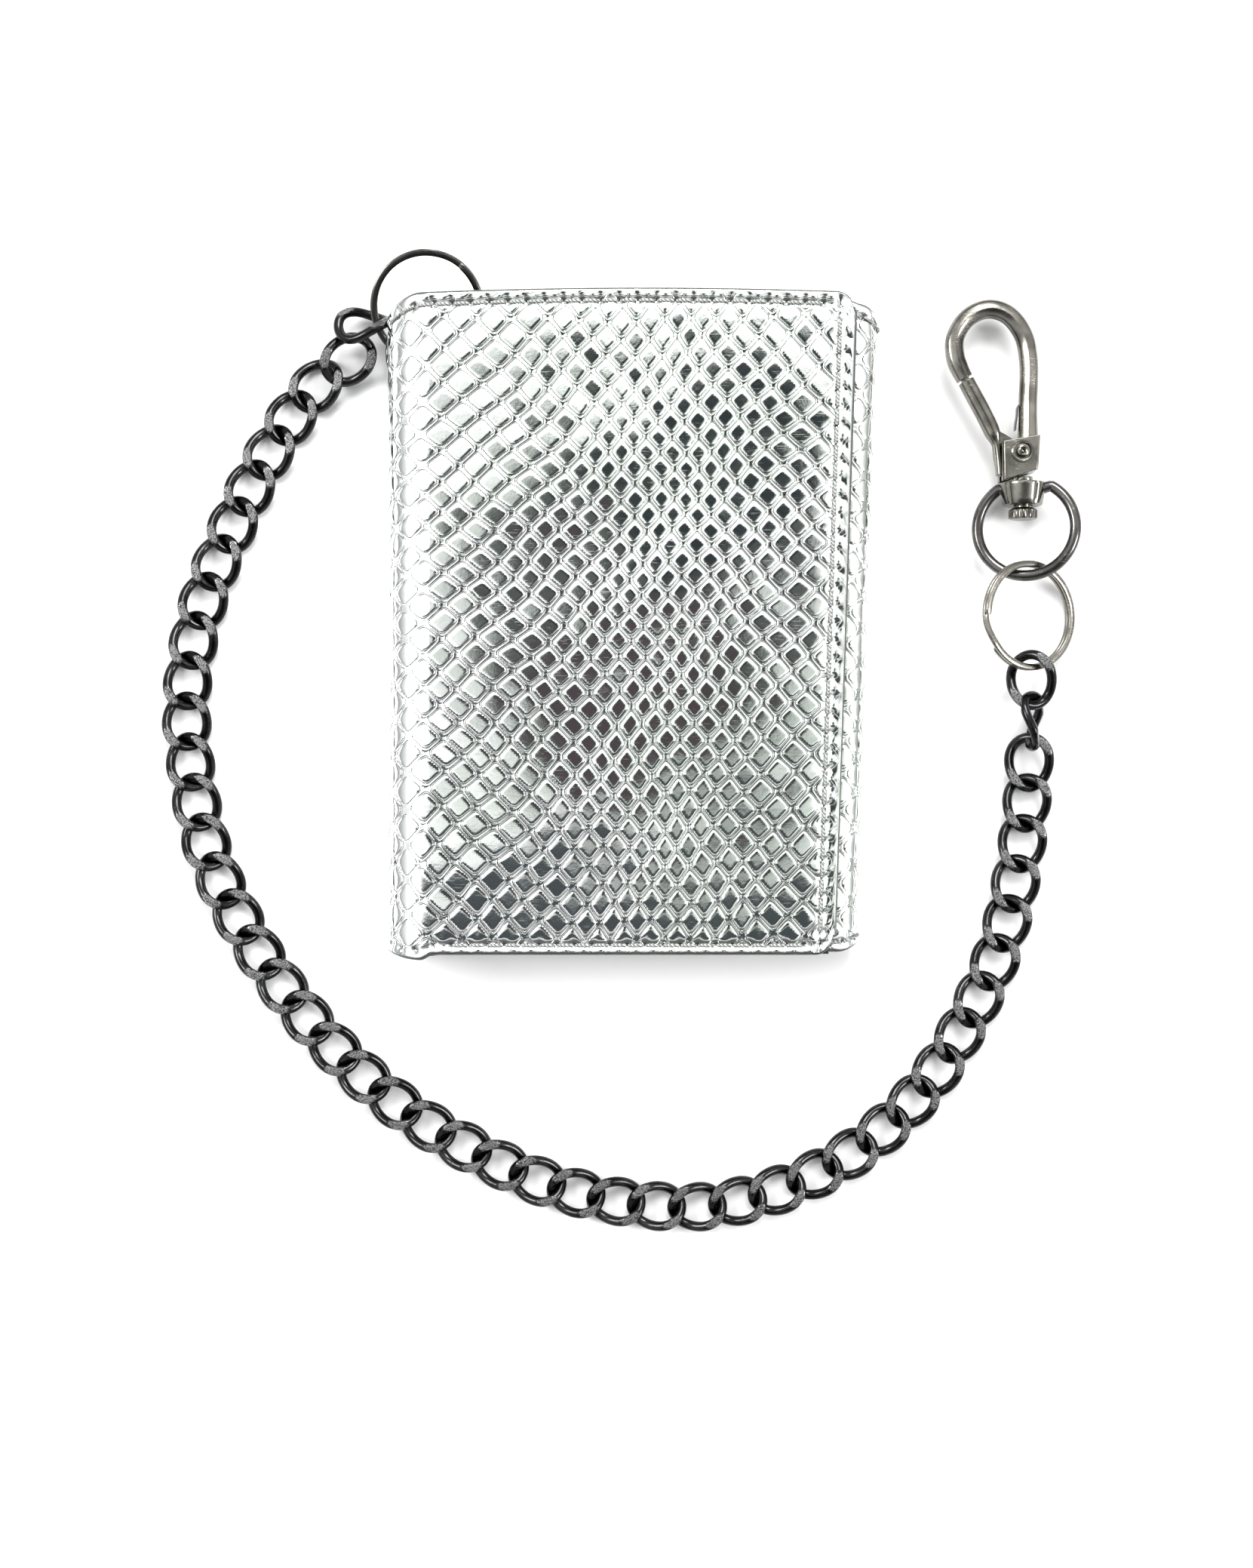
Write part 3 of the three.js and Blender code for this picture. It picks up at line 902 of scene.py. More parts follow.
@dataclass
class Finishes:
    """Every material on the object."""

    effects: Effects = field(default_factory=Effects)

    def __post_init__(self) -> None:
        """Build the materials from their finishes."""
        self.skin = SilverSkin().make(self.effects)
        self.liner = LinerLeather().make(self.effects)
        self.silver_thread = Thread(
            "silver grey thread", colour(0.50, 0.51, 0.49), colour(0.12, 0.12, 0.12)
        ).make(self.effects)
        self.black_thread = Thread(
            "black thread", colour(0.05, 0.05, 0.05), colour(0.01, 0.01, 0.01)
        ).make(self.effects)
        self.nickel = PlatedMetal(
            "warm nickel ring", colour(0.30, 0.285, 0.255), colour(0.19, 0.18, 0.16),
            colour(0.5, 0.5, 0.48), 0.14,
        ).make(self.effects)
        self.clasp = PlatedMetal(
            "warm nickel casting", colour(0.24, 0.23, 0.205), colour(0.13, 0.125, 0.11),
            colour(0.5, 0.5, 0.48), 0.16, 0.5,
        ).make(self.effects)
        self.gunmetal = PlatedMetal(
            "black nickel chain", colour(0.040, 0.040, 0.041), colour(0.020, 0.020, 0.021),
            colour(0.26, 0.26, 0.26), 0.09,
        ).make(self.effects)
        self.dark_nickel = PlatedMetal(
            "dark nickel ring", colour(0.13, 0.127, 0.122), colour(0.075, 0.073, 0.07),
            colour(0.4, 0.4, 0.4), 0.12,
        ).make(self.effects)


# ---- wallet ---------------------------------------------------------------------------------


def thread(path: np.ndarray, thick: float, up: np.ndarray, material: int = 0) -> Patch:
    """One stitch: a flattened round section that is drawn in at both ends.

    Args:
        path: The thread's middle, one point a row.
        thick: Its half width in the middle.
        up: The direction, or one a row, that stays upwards.
        material: Index of its material on the piece.

    Returns:
        The closed patch.
    """
    size = thick * np.sin(np.pi * np.linspace(0.10, 0.90, len(path))) ** 0.4
    section = oval(1, 0.8, 6)[None] * size[:, None, None]
    return Patch(tube(path, section, up), material=material)


@dataclass
class ScalePattern:
    """Staggered diamond scales whose width changes along the leather.

    Pattern coordinates are p = P + Q and q = P − Q, where P counts scale widths along the
    leather and Q counts scale heights up it, so scales are the unit squares of p and q.
    """

    along_at: tuple[float, ...] = (-210, -190, -165, -130, -98, -60, -24, -14, -1, 8, 16, 26, 40)
    width_at: tuple[float, ...] = (5.4, 4.8, 5.6, 6.0, 4.6, 6.1, 6.1, 5.4, 4.4, 4.3, 4.7, 5.5, 5.7)
    up_at: tuple[float, ...] = (-60, -45, -20, 10, 35, 60)
    height_at: tuple[float, ...] = (6.5, 6.3, 5.9, 5.3, 5.5, 6.2)
    valley: float = 0.18
    valley_reach: float = 0.50
    upper_reach: float = 0.46
    tilt: float = 0.016
    crown: float = 0.005
    depth: float = 0.07

    def phases(self, along: np.ndarray, up: np.ndarray) -> tuple[np.ndarray, np.ndarray, np.ndarray]:
        """Pattern coordinates and the width of a scale across its sides.

        P is the running sum of 1/width and Q of 1/height, each with a few slow sine waves
        added so that rows wander.

        Args:
            along: Place along the leather.
            up: Place up the leather.

        Returns:
            p, q and the distance between a scale's opposite sides.
        """
        a = np.linspace(self.along_at[0], self.along_at[-1], 4000)
        width = np.interp(a, self.along_at, self.width_at)
        u = np.linspace(self.up_at[0], self.up_at[-1], 2000)
        height = np.interp(u, self.up_at, self.height_at)
        across = np.interp(along, a, np.cumsum(1 / width) * (a[1] - a[0]))
        above = np.interp(up, u, np.cumsum(1 / height) * (u[1] - u[0]))
        across = across + 0.07 * np.sin(0.11 * along + 0.19 * up)
        across = across + 0.05 * np.sin(0.23 * up - 0.31 * along + 1.0)
        above = above + 0.07 * np.sin(0.10 * along + 2.0) + 0.06 * np.sin(0.29 * along + 0.17 * up)
        w, h = np.interp(along, a, width), np.interp(up, u, height)
        return across + above, across - above, w * h / np.hypot(w, h)

    def relief(self, p: np.ndarray, q: np.ndarray, side: np.ndarray) -> np.ndarray:
        """Height of the embossing, never above zero.

        A scale is flat, tipped a little its own way and crowned by a hair; round it the
        leather dips by valley as a smooth step, which is wider above a scale than below it.

        Args:
            p: First pattern coordinate.
            q: Second pattern coordinate.
            side: Distance between a scale's opposite sides.

        Returns:
            The height, millimetres.
        """
        dp, dq = p - np.floor(p) - 0.5, q - np.floor(q) - 0.5
        mean = (np.abs(dp) ** SCALE_POWER + np.abs(dq) ** SCALE_POWER) ** (1 / SCALE_POWER)
        cut = SCALE_CUT_SLOPE * (SCALE_CUT_AT - np.abs(dp + dq))
        reach = self.valley_reach + self.upper_reach * np.clip(dp - dq, 0, 1)
        plate = smoothstep(0, 1, np.minimum(0.5 - mean, cut) * side / reach)
        cell = (np.floor(p), np.floor(q))
        lean = (hashed(*cell, 1.0) - 0.5) * dp + (hashed(*cell, 2.0) - 0.5) * dq
        crown = self.crown * (1 - 4 * (dp**2 + dq**2))
        tipped = plate * (2 * self.tilt * side * lean + crown)
        return tipped - self.valley * (1 - plate) - self.depth


@dataclass
class OuterLeather:
    """The silver leather: one strip from the front flap's free edge, round the left fold,
    across the back and round the right fold to the inner flap's tip.

    Places along it count from the front flap, where they are x, down to negative numbers.
    """

    thickness: float = 1.2
    left_x: float = -35.0
    left_radius: float = 7.3
    left_bulge: float = 0.6
    right_x: float = 37.45
    right_radius: float = 4.2
    front_edge: float = 36.15
    inner_tip: float = -22.0
    slant: float = 0.034
    half_height: float = 57.5
    corner: float = 3.0
    arch: float = 0.9
    seam: float = 2.3
    bottom_seam: float = 1.7
    stitch: float = 3.1
    eyelet_angle: float = 54.0
    eyelet_y: float = 48.556
    eyelet_hole: float = 3.65
    eyelet_block: float = 3.4
    eyelet_pit: float = 1.0
    dome_x: float = 0.5
    dome_half: float = 37.0
    pattern: ScalePattern = field(default_factory=ScalePattern)

    def __post_init__(self) -> None:
        """Work out where the strip's stretches begin and end."""
        self.fold_end = self.left_x - np.pi * self.left_radius
        self.back_end = self.fold_end - (self.right_x - self.left_x)
        self.right_end = self.back_end - np.pi * self.right_radius
        self.tip = self.right_end - (self.right_x - self.inner_tip)
        self.eyelet_along = self.fold_end + self.left_radius * np.radians(self.eyelet_angle)

    def wrap(self, along: np.ndarray) -> tuple[np.ndarray, np.ndarray, np.ndarray, np.ndarray, np.ndarray]:
        """Place of the outer face in the XZ plane.

        Flat stretches are straight lines and folds are half circles.

        Args:
            along: Place along the strip.

        Returns:
            x, z, the outward normal's x and z, and the share of the side slant.
        """
        a = along
        left = np.clip((self.left_x - a) / self.left_radius, 0, np.pi)
        right = np.clip((self.back_end - a) / self.right_radius, 0, np.pi)
        front, back = a >= self.left_x, (a < self.fold_end) & (a >= self.back_end)
        stretches = [front, ~front & (a >= self.fold_end), back, a < self.right_end]
        zero, one = np.zeros_like(a), np.ones_like(a)
        reach = self.left_radius + self.left_bulge
        x = np.select(
            stretches,
            [
                a, self.left_x - reach * np.sin(left),
                self.left_x + self.fold_end - a, self.right_x - (self.right_end - a),
            ],
            self.right_x + self.right_radius * np.sin(right),
        )
        z = np.select(
            stretches,
            [
                2 * self.left_radius * one, self.left_radius * (1 + np.cos(left)),
                zero, 2 * self.right_radius * one,
            ],
            self.right_radius * (1 - np.cos(right)),
        )
        nx = np.select(stretches, [zero, -np.sin(left), zero, zero], np.sin(right))
        nz = np.select(stretches, [one, np.cos(left), -one, one], -np.cos(right))
        share = np.select(
            stretches,
            [
                (a - self.left_x) / (self.front_edge - self.left_x), zero,
                (x - self.left_x) / (self.right_x - self.left_x),
                (x - self.inner_tip) / (self.right_x - self.inner_tip),
            ],
            1.0,
        )
        return x, z, nx, nz, share

    def reach(self, along: np.ndarray, top: bool) -> np.ndarray:
        """Height of the strip's top or bottom edge at a place along it.

        The front and back are arched a little, the folds' ends are rounded off, and the front
        flap's two free corners are quarter circles.

        Args:
            along: Place along the strip.
            top: The top edge, otherwise the bottom.

        Returns:
            The edge's y.
        """
        x = self.wrap(along)[0]
        bow = 1 - ((x - 1) / 40) ** 2
        past_left = np.maximum(-36.5 - x, 0)
        past_right = np.maximum(x - 37.6, 0)
        if top:
            edge = self.half_height - 0.5 + self.arch * np.maximum(bow, 0) - 0.075 * past_left**2
            edge = edge - 0.11 * past_right**2 - 0.5 * smoothstep(36.2, 37.8, x)
        else:
            edge = -self.half_height + 0.9 * smoothstep(-36.5, -34.0, x) + 0.03 * past_left**2
            edge = edge + 0.08 * past_right**2
        if along.max() > self.left_x:
            into = np.clip(along - (self.front_edge - self.corner), 0, self.corner)
            cut = self.corner - np.sqrt(self.corner**2 - into**2)
            edge = edge - cut if top else edge + cut
        return edge

    def seam_relief(
        self, seams: Sequence[tuple[np.ndarray, np.ndarray]]
    ) -> tuple[np.ndarray, np.ndarray]:
        """Channel, puckers and needle holes along the sewn edges.

        The channel is a bell curve across the seam; holes are bells both ways, one a stitch,
        and the leather swells between them.

        Args:
            seams: For each sewn edge, the distance from it and the place along it.

        Returns:
            The height and the share of each point that is in a needle hole.
        """
        total = np.zeros_like(seams[0][0])
        prick = np.zeros_like(total)
        for distance, run in seams:
            off = distance - self.seam
            phase = np.cos(TAU * run / self.stitch)
            hole = np.exp(-(off / 0.42) ** 2) * smoothstep(0.40, 1.0, phase)
            total -= 0.20 * np.exp(-(off / 0.50) ** 2) + 0.30 * hole
            total -= 0.07 * (1 + phase) * np.exp(-(off / 1.4) ** 2)
            total += 0.05 * (1 - phase) * np.exp(-((off + 1.1) / 0.6) ** 2)
            prick = np.maximum(prick, hole)
        return total, prick

    def height(
        self, along: np.ndarray, up: np.ndarray, ends: tuple[np.ndarray, np.ndarray],
        free: float | None,
    ) -> tuple[np.ndarray, ...]:
        """Relief of the outer face.

        Args:
            along: Place along the strip.
            up: Place up it.
            ends: The strip's bottom and top edge at each place.
            free: The place of a free side edge, if there is one near.

        Returns:
            The height, the share of embossing, the pattern coordinates and the needle holes.
        """
        to_bottom, to_top = up - ends[0], ends[1] - up
        to_side = np.full_like(along, 50.0) if free is None else np.abs(along - free)
        margin = np.minimum(np.minimum(to_top, to_bottom + 0.4), to_side)
        share = 0.12 + 0.88 * smoothstep(1.6, 3.4, margin)
        p, q, side = self.pattern.phases(along, up)
        relief = share * self.pattern.relief(p, q, side)
        seams = ((to_top, along), (to_bottom + 0.6, along), (to_side, up))
        sewn, prick = self.seam_relief(seams)
        relief = relief + sewn
        wrinkle = 0.03 * np.sin(2.6 * along + 1.1 * up) * np.sin(1.9 * up - 0.7 * along)
        relief = relief + wrinkle * np.exp(-(margin / 2.0) ** 2)
        return relief, share, np.stack([p, q], axis=-1), prick

    def dome(self, x: np.ndarray, up: np.ndarray, puff: float) -> np.ndarray:
        """How far the stuffed flap stands proud: a parabola each way that is puff at its middle."""
        across = np.clip(1 - ((x - self.dome_x) / self.dome_half) ** 2, 0, 1)
        return puff * across * np.clip(1 - (up / self.half_height) ** 2, 0, 1)

    def rows(self, rise: float) -> np.ndarray:
        """Places from 0 at the bottom edge to 1 at the top.

        They are spaced by rise, and closer where the thickness rounds off at both ends.

        Args:
            rise: Spacing, millimetres.

        Returns:
            The places.
        """
        span = 2 * self.half_height
        quarter = np.radians(np.linspace(0, 90, 7))
        rounding = self.thickness / 2 * (1 - np.cos(quarter))
        middle = np.arange(rounding[-1] + rise / 2, span - rounding[-1], rise)
        return np.concatenate([rounding, middle, span - rounding[::-1]]) / span

    def sweep(
        self, start: float, end: float, step: float, free: float | None = None, puff: float = 0.0
    ) -> Patch:
        """One stretch of the strip as a closed sheet.

        Across, the section runs along the outer face, round a half circle at the free edge
        and back along the inner face. Up, the thickness follows a half circle to zero at both
        ends. The outer face carries the embossing along its normal.

        Args:
            start: First place along the strip.
            end: Last place along it, where the free edge is.
            step: Spacing of the outer columns and of the rows.
            free: The free edge's place, or None where the stretch is joined on both sides.
            puff: How far the middle of the flat part stands proud.

        Returns:
            The closed patch.
        """
        outer = np.linspace(start, end, int(abs(end - start) / step) + 1)
        inner = np.linspace(end, start, 70)
        lip = np.zeros(0) if free is None else np.radians(np.linspace(0, 180, 9))[1:-1]
        along = np.concatenate([outer, np.full(len(lip), end), inner])
        level = np.concatenate([np.ones(len(outer)), np.cos(lip), -np.ones(len(inner))])
        beyond = np.concatenate([0 * outer, np.sin(lip), 0 * inner])
        face = np.concatenate([np.ones(len(outer)), 0 * lip, 0 * inner])
        half = self.thickness / 2
        rows = self.rows(step)[:, None]
        a = np.broadcast_to(along, (len(rows), len(along))).copy()
        low, high = self.reach(a, False), self.reach(a, True)
        up, a, hole = self.open_eyelet(low + (high - low) * rows, a, face, step)
        inset = np.minimum(up - low, high - up)
        fat = np.sqrt(np.clip(1 - (1 - np.minimum(inset / half, 1)) ** 2, 0, 1))
        x, z, nx, nz, slant_share = self.wrap(a)
        relief, share, pattern, prick = self.height(a, up, (low, high), free)
        relief = relief * face * smoothstep(0.0, 1.2, inset) - self.eyelet_pit * hole
        lift = half * fat * level - half + relief
        swell = 1 + 0.25 * np.sin(0.13 * x + 0.09 * up) + 0.2 * np.sin(0.21 * up - 0.1 * x + 1)
        dome = self.dome(x, up, puff) * swell * (np.abs(nz) > 0.999)
        outwards = 1.0 if free == self.front_edge else -1.0
        side = x + nx * lift + outwards * half * fat * beyond + self.slant * slant_share * up
        points = np.stack([side, up, z + nz * lift + dome], axis=-1)
        rim = 1 - smoothstep(0.30, 0.75, inset)
        values = {
            "embossed": share * face * (1 - hole),
            "cut_edge": np.maximum(np.broadcast_to(1 - face, a.shape), rim),
            "lining": np.broadcast_to((level < -0.9) * 1.0, a.shape),
            # the eyelet's hole, where the skin's material paints shadow
            "hole": hole,
            # needle holes, where the skin's material paints shade
            "prick": prick * face,
        }
        return Patch(points, cap=Cap.NONE, values=values, pattern=pattern)

    def open_eyelet(
        self, up: np.ndarray, along: np.ndarray, face: np.ndarray, step: float
    ) -> tuple[np.ndarray, np.ndarray, np.ndarray]:
        """Draw the grid round the eyelet's hole.

        Within a square block the points are mapped onto a disc of the hole's radius and sunk;
        from the block to twice its size the mapping fades back to the plain grid.

        Args:
            up: Places up.
            along: Places along.
            face: 1 on the outer face, 0 elsewhere.
            step: Spacing of the grid.

        Returns:
            The new places up and along, and the share of each point that is in the hole.
        """
        da, du = along - self.eyelet_along, up - self.eyelet_y
        square = np.maximum(np.abs(da), np.abs(du))
        away = np.maximum(np.hypot(da, du), 1e-9)
        block = self.eyelet_block
        inside = self.eyelet_hole * square / block
        rim = 2 * block * away / np.maximum(square, 1e-9)
        outside = self.eyelet_hole + (rim - self.eyelet_hole) * (square - block) / block
        target = np.where(square <= block, inside, outside)
        scale = np.where(square < 2 * block, target / away, 1.0) * face + (1 - face)
        hole = (square < block - 0.6 * step) * face
        return self.eyelet_y + du * scale, self.eyelet_along + da * scale, hole

    def surface(self, along: np.ndarray, up: np.ndarray, lift: float, puff: float) -> np.ndarray:
        """Points off the plain outer face.

        Args:
            along: Places along.
            up: Places up.
            lift: How far they stand off it.
            puff: How far the middle of the flat part stands proud.

        Returns:
            The points, one a row.
        """
        x, z, nx, nz, share = self.wrap(along)
        dome = self.dome(x, up, puff) * (np.abs(nz) > 0.999)
        side = x + nx * lift + self.slant * share * up
        return np.stack([side, up, z + nz * lift + dome], axis=-1)

    def stitches(self, runs: Sequence[tuple[np.ndarray, np.ndarray]], puff: float) -> list[Patch]:
        """Short threads that dip into the leather at both ends.

        Each thread is a round section carried from one hole to the next; its height follows a
        flattened sine, and its ends are drawn in.

        Args:
            runs: For each row of stitching, the places along and up of its holes.
            puff: How far the middle of the flat part stands proud.

        Returns:
            One patch for each stitch.
        """
        t = np.linspace(0.06, 0.94, 8)
        rise = 0.34 * np.sin(np.pi * t) ** 0.5 - 0.30
        patches = []
        for along, up in runs:
            for k in range(len(along) - 1):
                a = along[k] + (along[k + 1] - along[k]) * t
                u = up[k] + (up[k + 1] - up[k]) * t
                base = self.surface(a, u, 0.0, puff)
                normal = unit(self.surface(a, u, 1.0, puff) - base)
                patches.append(thread(base + normal * rise[:, None], 0.27, normal))
        return patches

    def seam_run(self, start: float, end: float, top: bool) -> tuple[np.ndarray, np.ndarray]:
        """Holes of a row of stitching that keeps to the top or bottom edge.

        Args:
            start: One end of it along the strip.
            end: Its other end.
            top: It keeps to the top edge, otherwise to the bottom.

        Returns:
            The places of the holes along and up.
        """
        low, high = (value / self.stitch for value in sorted((start, end)))
        holes = np.arange(np.ceil(low), np.floor(high) + 1) * self.stitch
        edge = self.reach(holes, top)
        return holes, edge - self.seam if top else edge + self.bottom_seam


@dataclass
class Wallet:
    """The folded wallet: three stretches of silver leather, linings, card slots and eyelet."""

    finishes: Finishes
    leather: OuterLeather = field(default_factory=OuterLeather)
    bend_start: tuple[float, float, float] = (-0.040, 0.0, 0.0030)
    bend_end: tuple[float, float, float] = (-0.040, 0.0, 0.0116)
    right_start: tuple[float, float, float] = (0.040, 0.0, 0.0015)
    right_end: tuple[float, float, float] = (0.040, 0.0, 0.0070)
    front_puff: float = 0.55
    ring_x: float = -36.0
    ring_y: float = 56.4
    ring_room: float = 12.4
    hem_at: float = 3.0
    hem_stitch: float = 2.6

    def build(self) -> None:
        """Make every piece of the wallet."""
        self.skins()
        self.sewing()
        self.leaves()
        self.eyelet()

    def bend_left(self, piece: bpy.types.Object) -> None:
        """Bake the transform of a piece of the front flap into its mesh."""
        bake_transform(piece)

    def bend_right(self, piece: bpy.types.Object) -> None:
        """Bake the transform of a piece of the inner flap into its mesh."""
        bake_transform(piece)

    def skins(self) -> None:
        """The three stretches of silver leather."""
        leather, skin = self.leather, [self.finishes.skin]
        edge, tip = leather.front_edge, leather.tip
        sheet = leather.sweep(leather.fold_end, edge, 0.38, edge, self.front_puff)
        front = build_piece("front_skin", [sheet], skin, 80)
        self.bend_left(front)
        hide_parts("front_cover", "left_fold")
        sheet = leather.sweep(leather.back_end, leather.fold_end, 0.5)
        back = build_piece("back_skin", [sheet], skin, 80)
        finish(back, Slot.SKIN, "wallet_back", "back_cover")
        sheet = leather.sweep(leather.back_end, tip, 0.45, tip)
        inner = build_piece("inner_skin", [sheet], skin, 80)
        self.bend_right(inner)
        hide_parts("inner_cover", "right_fold")

    def sewing(self) -> None:
        """Rows of stitching on the three stretches."""
        leather, silver = self.leather, [self.finishes.silver_thread]
        side, tip = leather.front_edge - leather.seam, leather.tip + leather.seam
        rows = np.arange(-17, 18) * leather.stitch
        both = (True, False)
        runs = [
            leather.seam_run(-46.0, side, True),
            leather.seam_run(-34.0, side, False),
            (np.full(len(rows), side), rows),
        ]
        threads = leather.stitches(runs, self.front_puff)
        self.bend_left(build_piece("front_stitching", threads, silver))
        runs = [leather.seam_run(leather.back_end + 1, leather.fold_end - 1, top) for top in both]
        piece = build_piece("back_stitching", leather.stitches(runs, 0.0), silver)
        finish(piece, Slot.SKIN, "wallet_back")
        runs = [leather.seam_run(tip, leather.back_end - 1, top) for top in both]
        runs.append((np.full(len(rows), tip), rows))
        self.bend_right(build_piece("inner_stitching", leather.stitches(runs, 0.0), silver))

    def leaf(self, node: str, hem_up: bool) -> Patch:
        """A pocket leaf in the room of its CAD node.

        The section runs along the upper face, round a half circle, back along the lower face
        and round again; its thickness closes to zero at the top and bottom edges, and a low
        rounded hem runs below the open top edge.

        Args:
            node: The CAD node.
            hem_up: The hem is on the upper face, otherwise on the lower.

        Returns:
            The closed patch.
        """
        low, high = (np.array(corner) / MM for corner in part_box(node))
        half, span = (high[2] - low[2]) / 2, high[1] - low[1]
        slanted = self.leather.slant * self.leather.half_height * 0.97
        left, right = low[0], high[0] - slanted
        face = np.linspace(left + half, right - half, 60)
        lip = np.radians(np.linspace(90, -90, 7))[1:-1]
        round_right, round_left = right - half + half * np.cos(lip), left + half - half * np.cos(lip)
        x = np.concatenate([face, round_right, face[::-1], round_left])
        level = np.concatenate([np.ones(60), np.sin(lip), -np.ones(60), -np.sin(lip)])
        rounding = half * (1 - np.cos(np.radians(np.linspace(0, 90, 5))))
        middle = np.arange(half + 0.8, span - 5, 2.2)
        hem_rows = span - np.linspace(4.6, half + 0.1, 14)
        rows = np.concatenate([rounding, middle, hem_rows, span - rounding[::-1]])
        up = low[1] + rows[:, None] + 0 * x
        x = x + 0 * up
        if node == "bill_divider":
            arc = self.ring_room**2 - np.minimum((x - self.ring_x) ** 2, self.ring_room**2)
            room = np.where(x < self.ring_x + self.ring_room, self.ring_y - np.sqrt(arc), 99)
            up = np.minimum(up, room - 0.01 * (high[1] - up))
        inset = np.minimum(rows, span - rows)[:, None]
        fat = np.sqrt(np.clip(1 - (1 - np.minimum(inset / half, 1)) ** 2, 0, 1))
        side, from_top = 1.0 if hem_up else -1.0, high[1] - up
        hem = 0.14 * np.exp(-((from_top - 1.5) / 1.1) ** 4)
        hem = (hem - 0.08 * np.exp(-((from_top - self.hem_at) / 0.35) ** 2)) * (side * level > 0.9)
        wave = 0.04 * np.sin(0.19 * x + 0.11 * up) * (1 - (2 * (up - low[1]) / span - 1) ** 2)
        z = (low[2] + high[2]) / 2 + half * fat * level * 0.92 + wave + hem * side
        share = (x - left) / (right - left)
        points = np.stack([x + self.leather.slant * share * up, up, z], axis=-1)
        return Patch(points, cap=Cap.NONE)

    def leaves(self) -> None:
        """Linings, the bill divider and the card slots, each with its hem, which is sewn on all but the
        bill divider.
        """
        rows = (
            ("wallet_back", "centre_card_slot", 3, "bill_divider", True),
            ("inner_flap", "inner_card_slot", 2, "inner_lining", False),
            ("front_flap", "front_card_slot", 3, "front_lining", False),
        )
        materials = [self.finishes.liner, self.finishes.black_thread]
        for body, slot, count, first, hem_up in rows:
            for node in (first, *(f"{slot}_{k + 1}" for k in range(count))):
                patches = [self.leaf(node, hem_up)]
                if node != "bill_divider":
                    patches += self.hem_stitches(node, hem_up)
                piece = build_piece(f"{node}_leaf", patches, materials, 70)
                finish(piece, Slot.LINER, body, node)

    def hem_stitches(self, node: str, hem_up: bool) -> list[Patch]:
        """Short black threads along a leaf's hem line.

        Args:
            node: The CAD node.
            hem_up: They are on the upper face, otherwise on the lower.

        Returns:
            One patch for each stitch.
        """
        low, high = (np.array(corner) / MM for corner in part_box(node))
        side = 1.0 if hem_up else -1.0
        level = (high[2] if hem_up else low[2]) - side * 0.02
        t = np.linspace(0.08, 0.92, 6)
        rise = level + side * (0.16 * np.sin(np.pi * t) ** 0.5 - 0.06)
        y = np.full(len(t), high[1] - self.hem_at)
        holes = np.arange(low[0] + 2.5, high[0] - 4.5, self.hem_stitch)
        paths = [np.stack([x + self.hem_stitch * t, y, rise], axis=-1) for x in holes]
        return [thread(path, 0.16, side * UP, material=1) for path in paths]

    def eyelet(self) -> None:
        """Metal eyelet and washer, turned round the hole and laid on the curved fold.

        A profile of (distance from the hole's middle, height off the leather) is turned round
        the hole, and the distance is then measured over the fold.
        """
        leather = self.leather
        outside = (
            (3.42, -1.55), (3.40, 0.10), (3.46, 0.34), (3.62, 0.46), (3.86, 0.44), (4.06, 0.30),
            (4.14, 0.08), (4.10, -0.06), (3.66, -0.08), (3.62, -1.55),
        )
        inside = (
            (3.42, -1.55), (4.05, -1.55), (4.12, -1.68), (4.0, -1.84), (3.5, -1.86), (3.40, -1.7),
        )
        for name, profile in (("eyelet", outside), ("eyelet_washer", inside)):
            ring = lathe(profile, 64)
            across, over, height = np.moveaxis(ring, -1, 0)
            x, z, nx, nz, _ = leather.wrap(leather.eyelet_along + across)
            up = leather.eyelet_y + over
            rim = Patch(np.stack([x + nx * height, up, z + nz * height], axis=-1), loop=True)
            piece = build_piece(f"{name}_rim", [rim], [self.finishes.dark_nickel], 40)
            finish(piece, Slot.RINGS, "wallet_back", name)


# ---- rings and chain ------------------------------------------------------------------------


@dataclass
class SplitRing:
    """A flat wire wound twice, with the step where one coil climbs onto the other."""

    name: str
    centre: tuple[float, float, float]
    axis: int
    tilt: float
    radius: float
    step_at: float
    wire_radial: float = 1.2
    wire_axial: float = 0.78
    coil_gap: float = 0.04
    climb: float = 34.0

    def build(self, material: bpy.types.Material, body: str, node: str) -> bpy.types.Object:
        """Wind the ring.

        The centreline turns from half a climb past the step to half a climb short of two full
        turns, and its height goes up by one wire as a smooth step where it passes itself.

        Args:
            material: Its metal.
            body: The body that it moves with.
            node: The CAD node that it replaces.

        Returns:
            The piece.
        """
        start, end = self.climb / 2 + 2, 720 - self.climb / 2 - 2
        angle = np.linspace(start, end, 210)
        rise = smoothstep(360 - self.climb / 2, 360 + self.climb / 2, angle) - 0.5
        at = np.radians(angle + self.step_at)
        height = rise * (self.wire_axial + self.coil_gap)
        path = np.stack([self.radius * np.cos(at), self.radius * np.sin(at), height], axis=-1)
        section = oval(self.wire_radial / 2, self.wire_axial / 2, 14, 3.4)
        taper = 1 - 0.35 * np.exp(-np.minimum(angle - start, end - angle) / 1.2)
        coil = tube(path, section[None] * taper[:, None, None], UP)
        coil = coil @ turn(self.axis, self.tilt).T + np.array(self.centre)
        piece = build_piece(self.name, [Patch(coil, cap=Cap.POLYGON)], [material], 45)
        return finish(piece, Slot.RINGS, body, node)


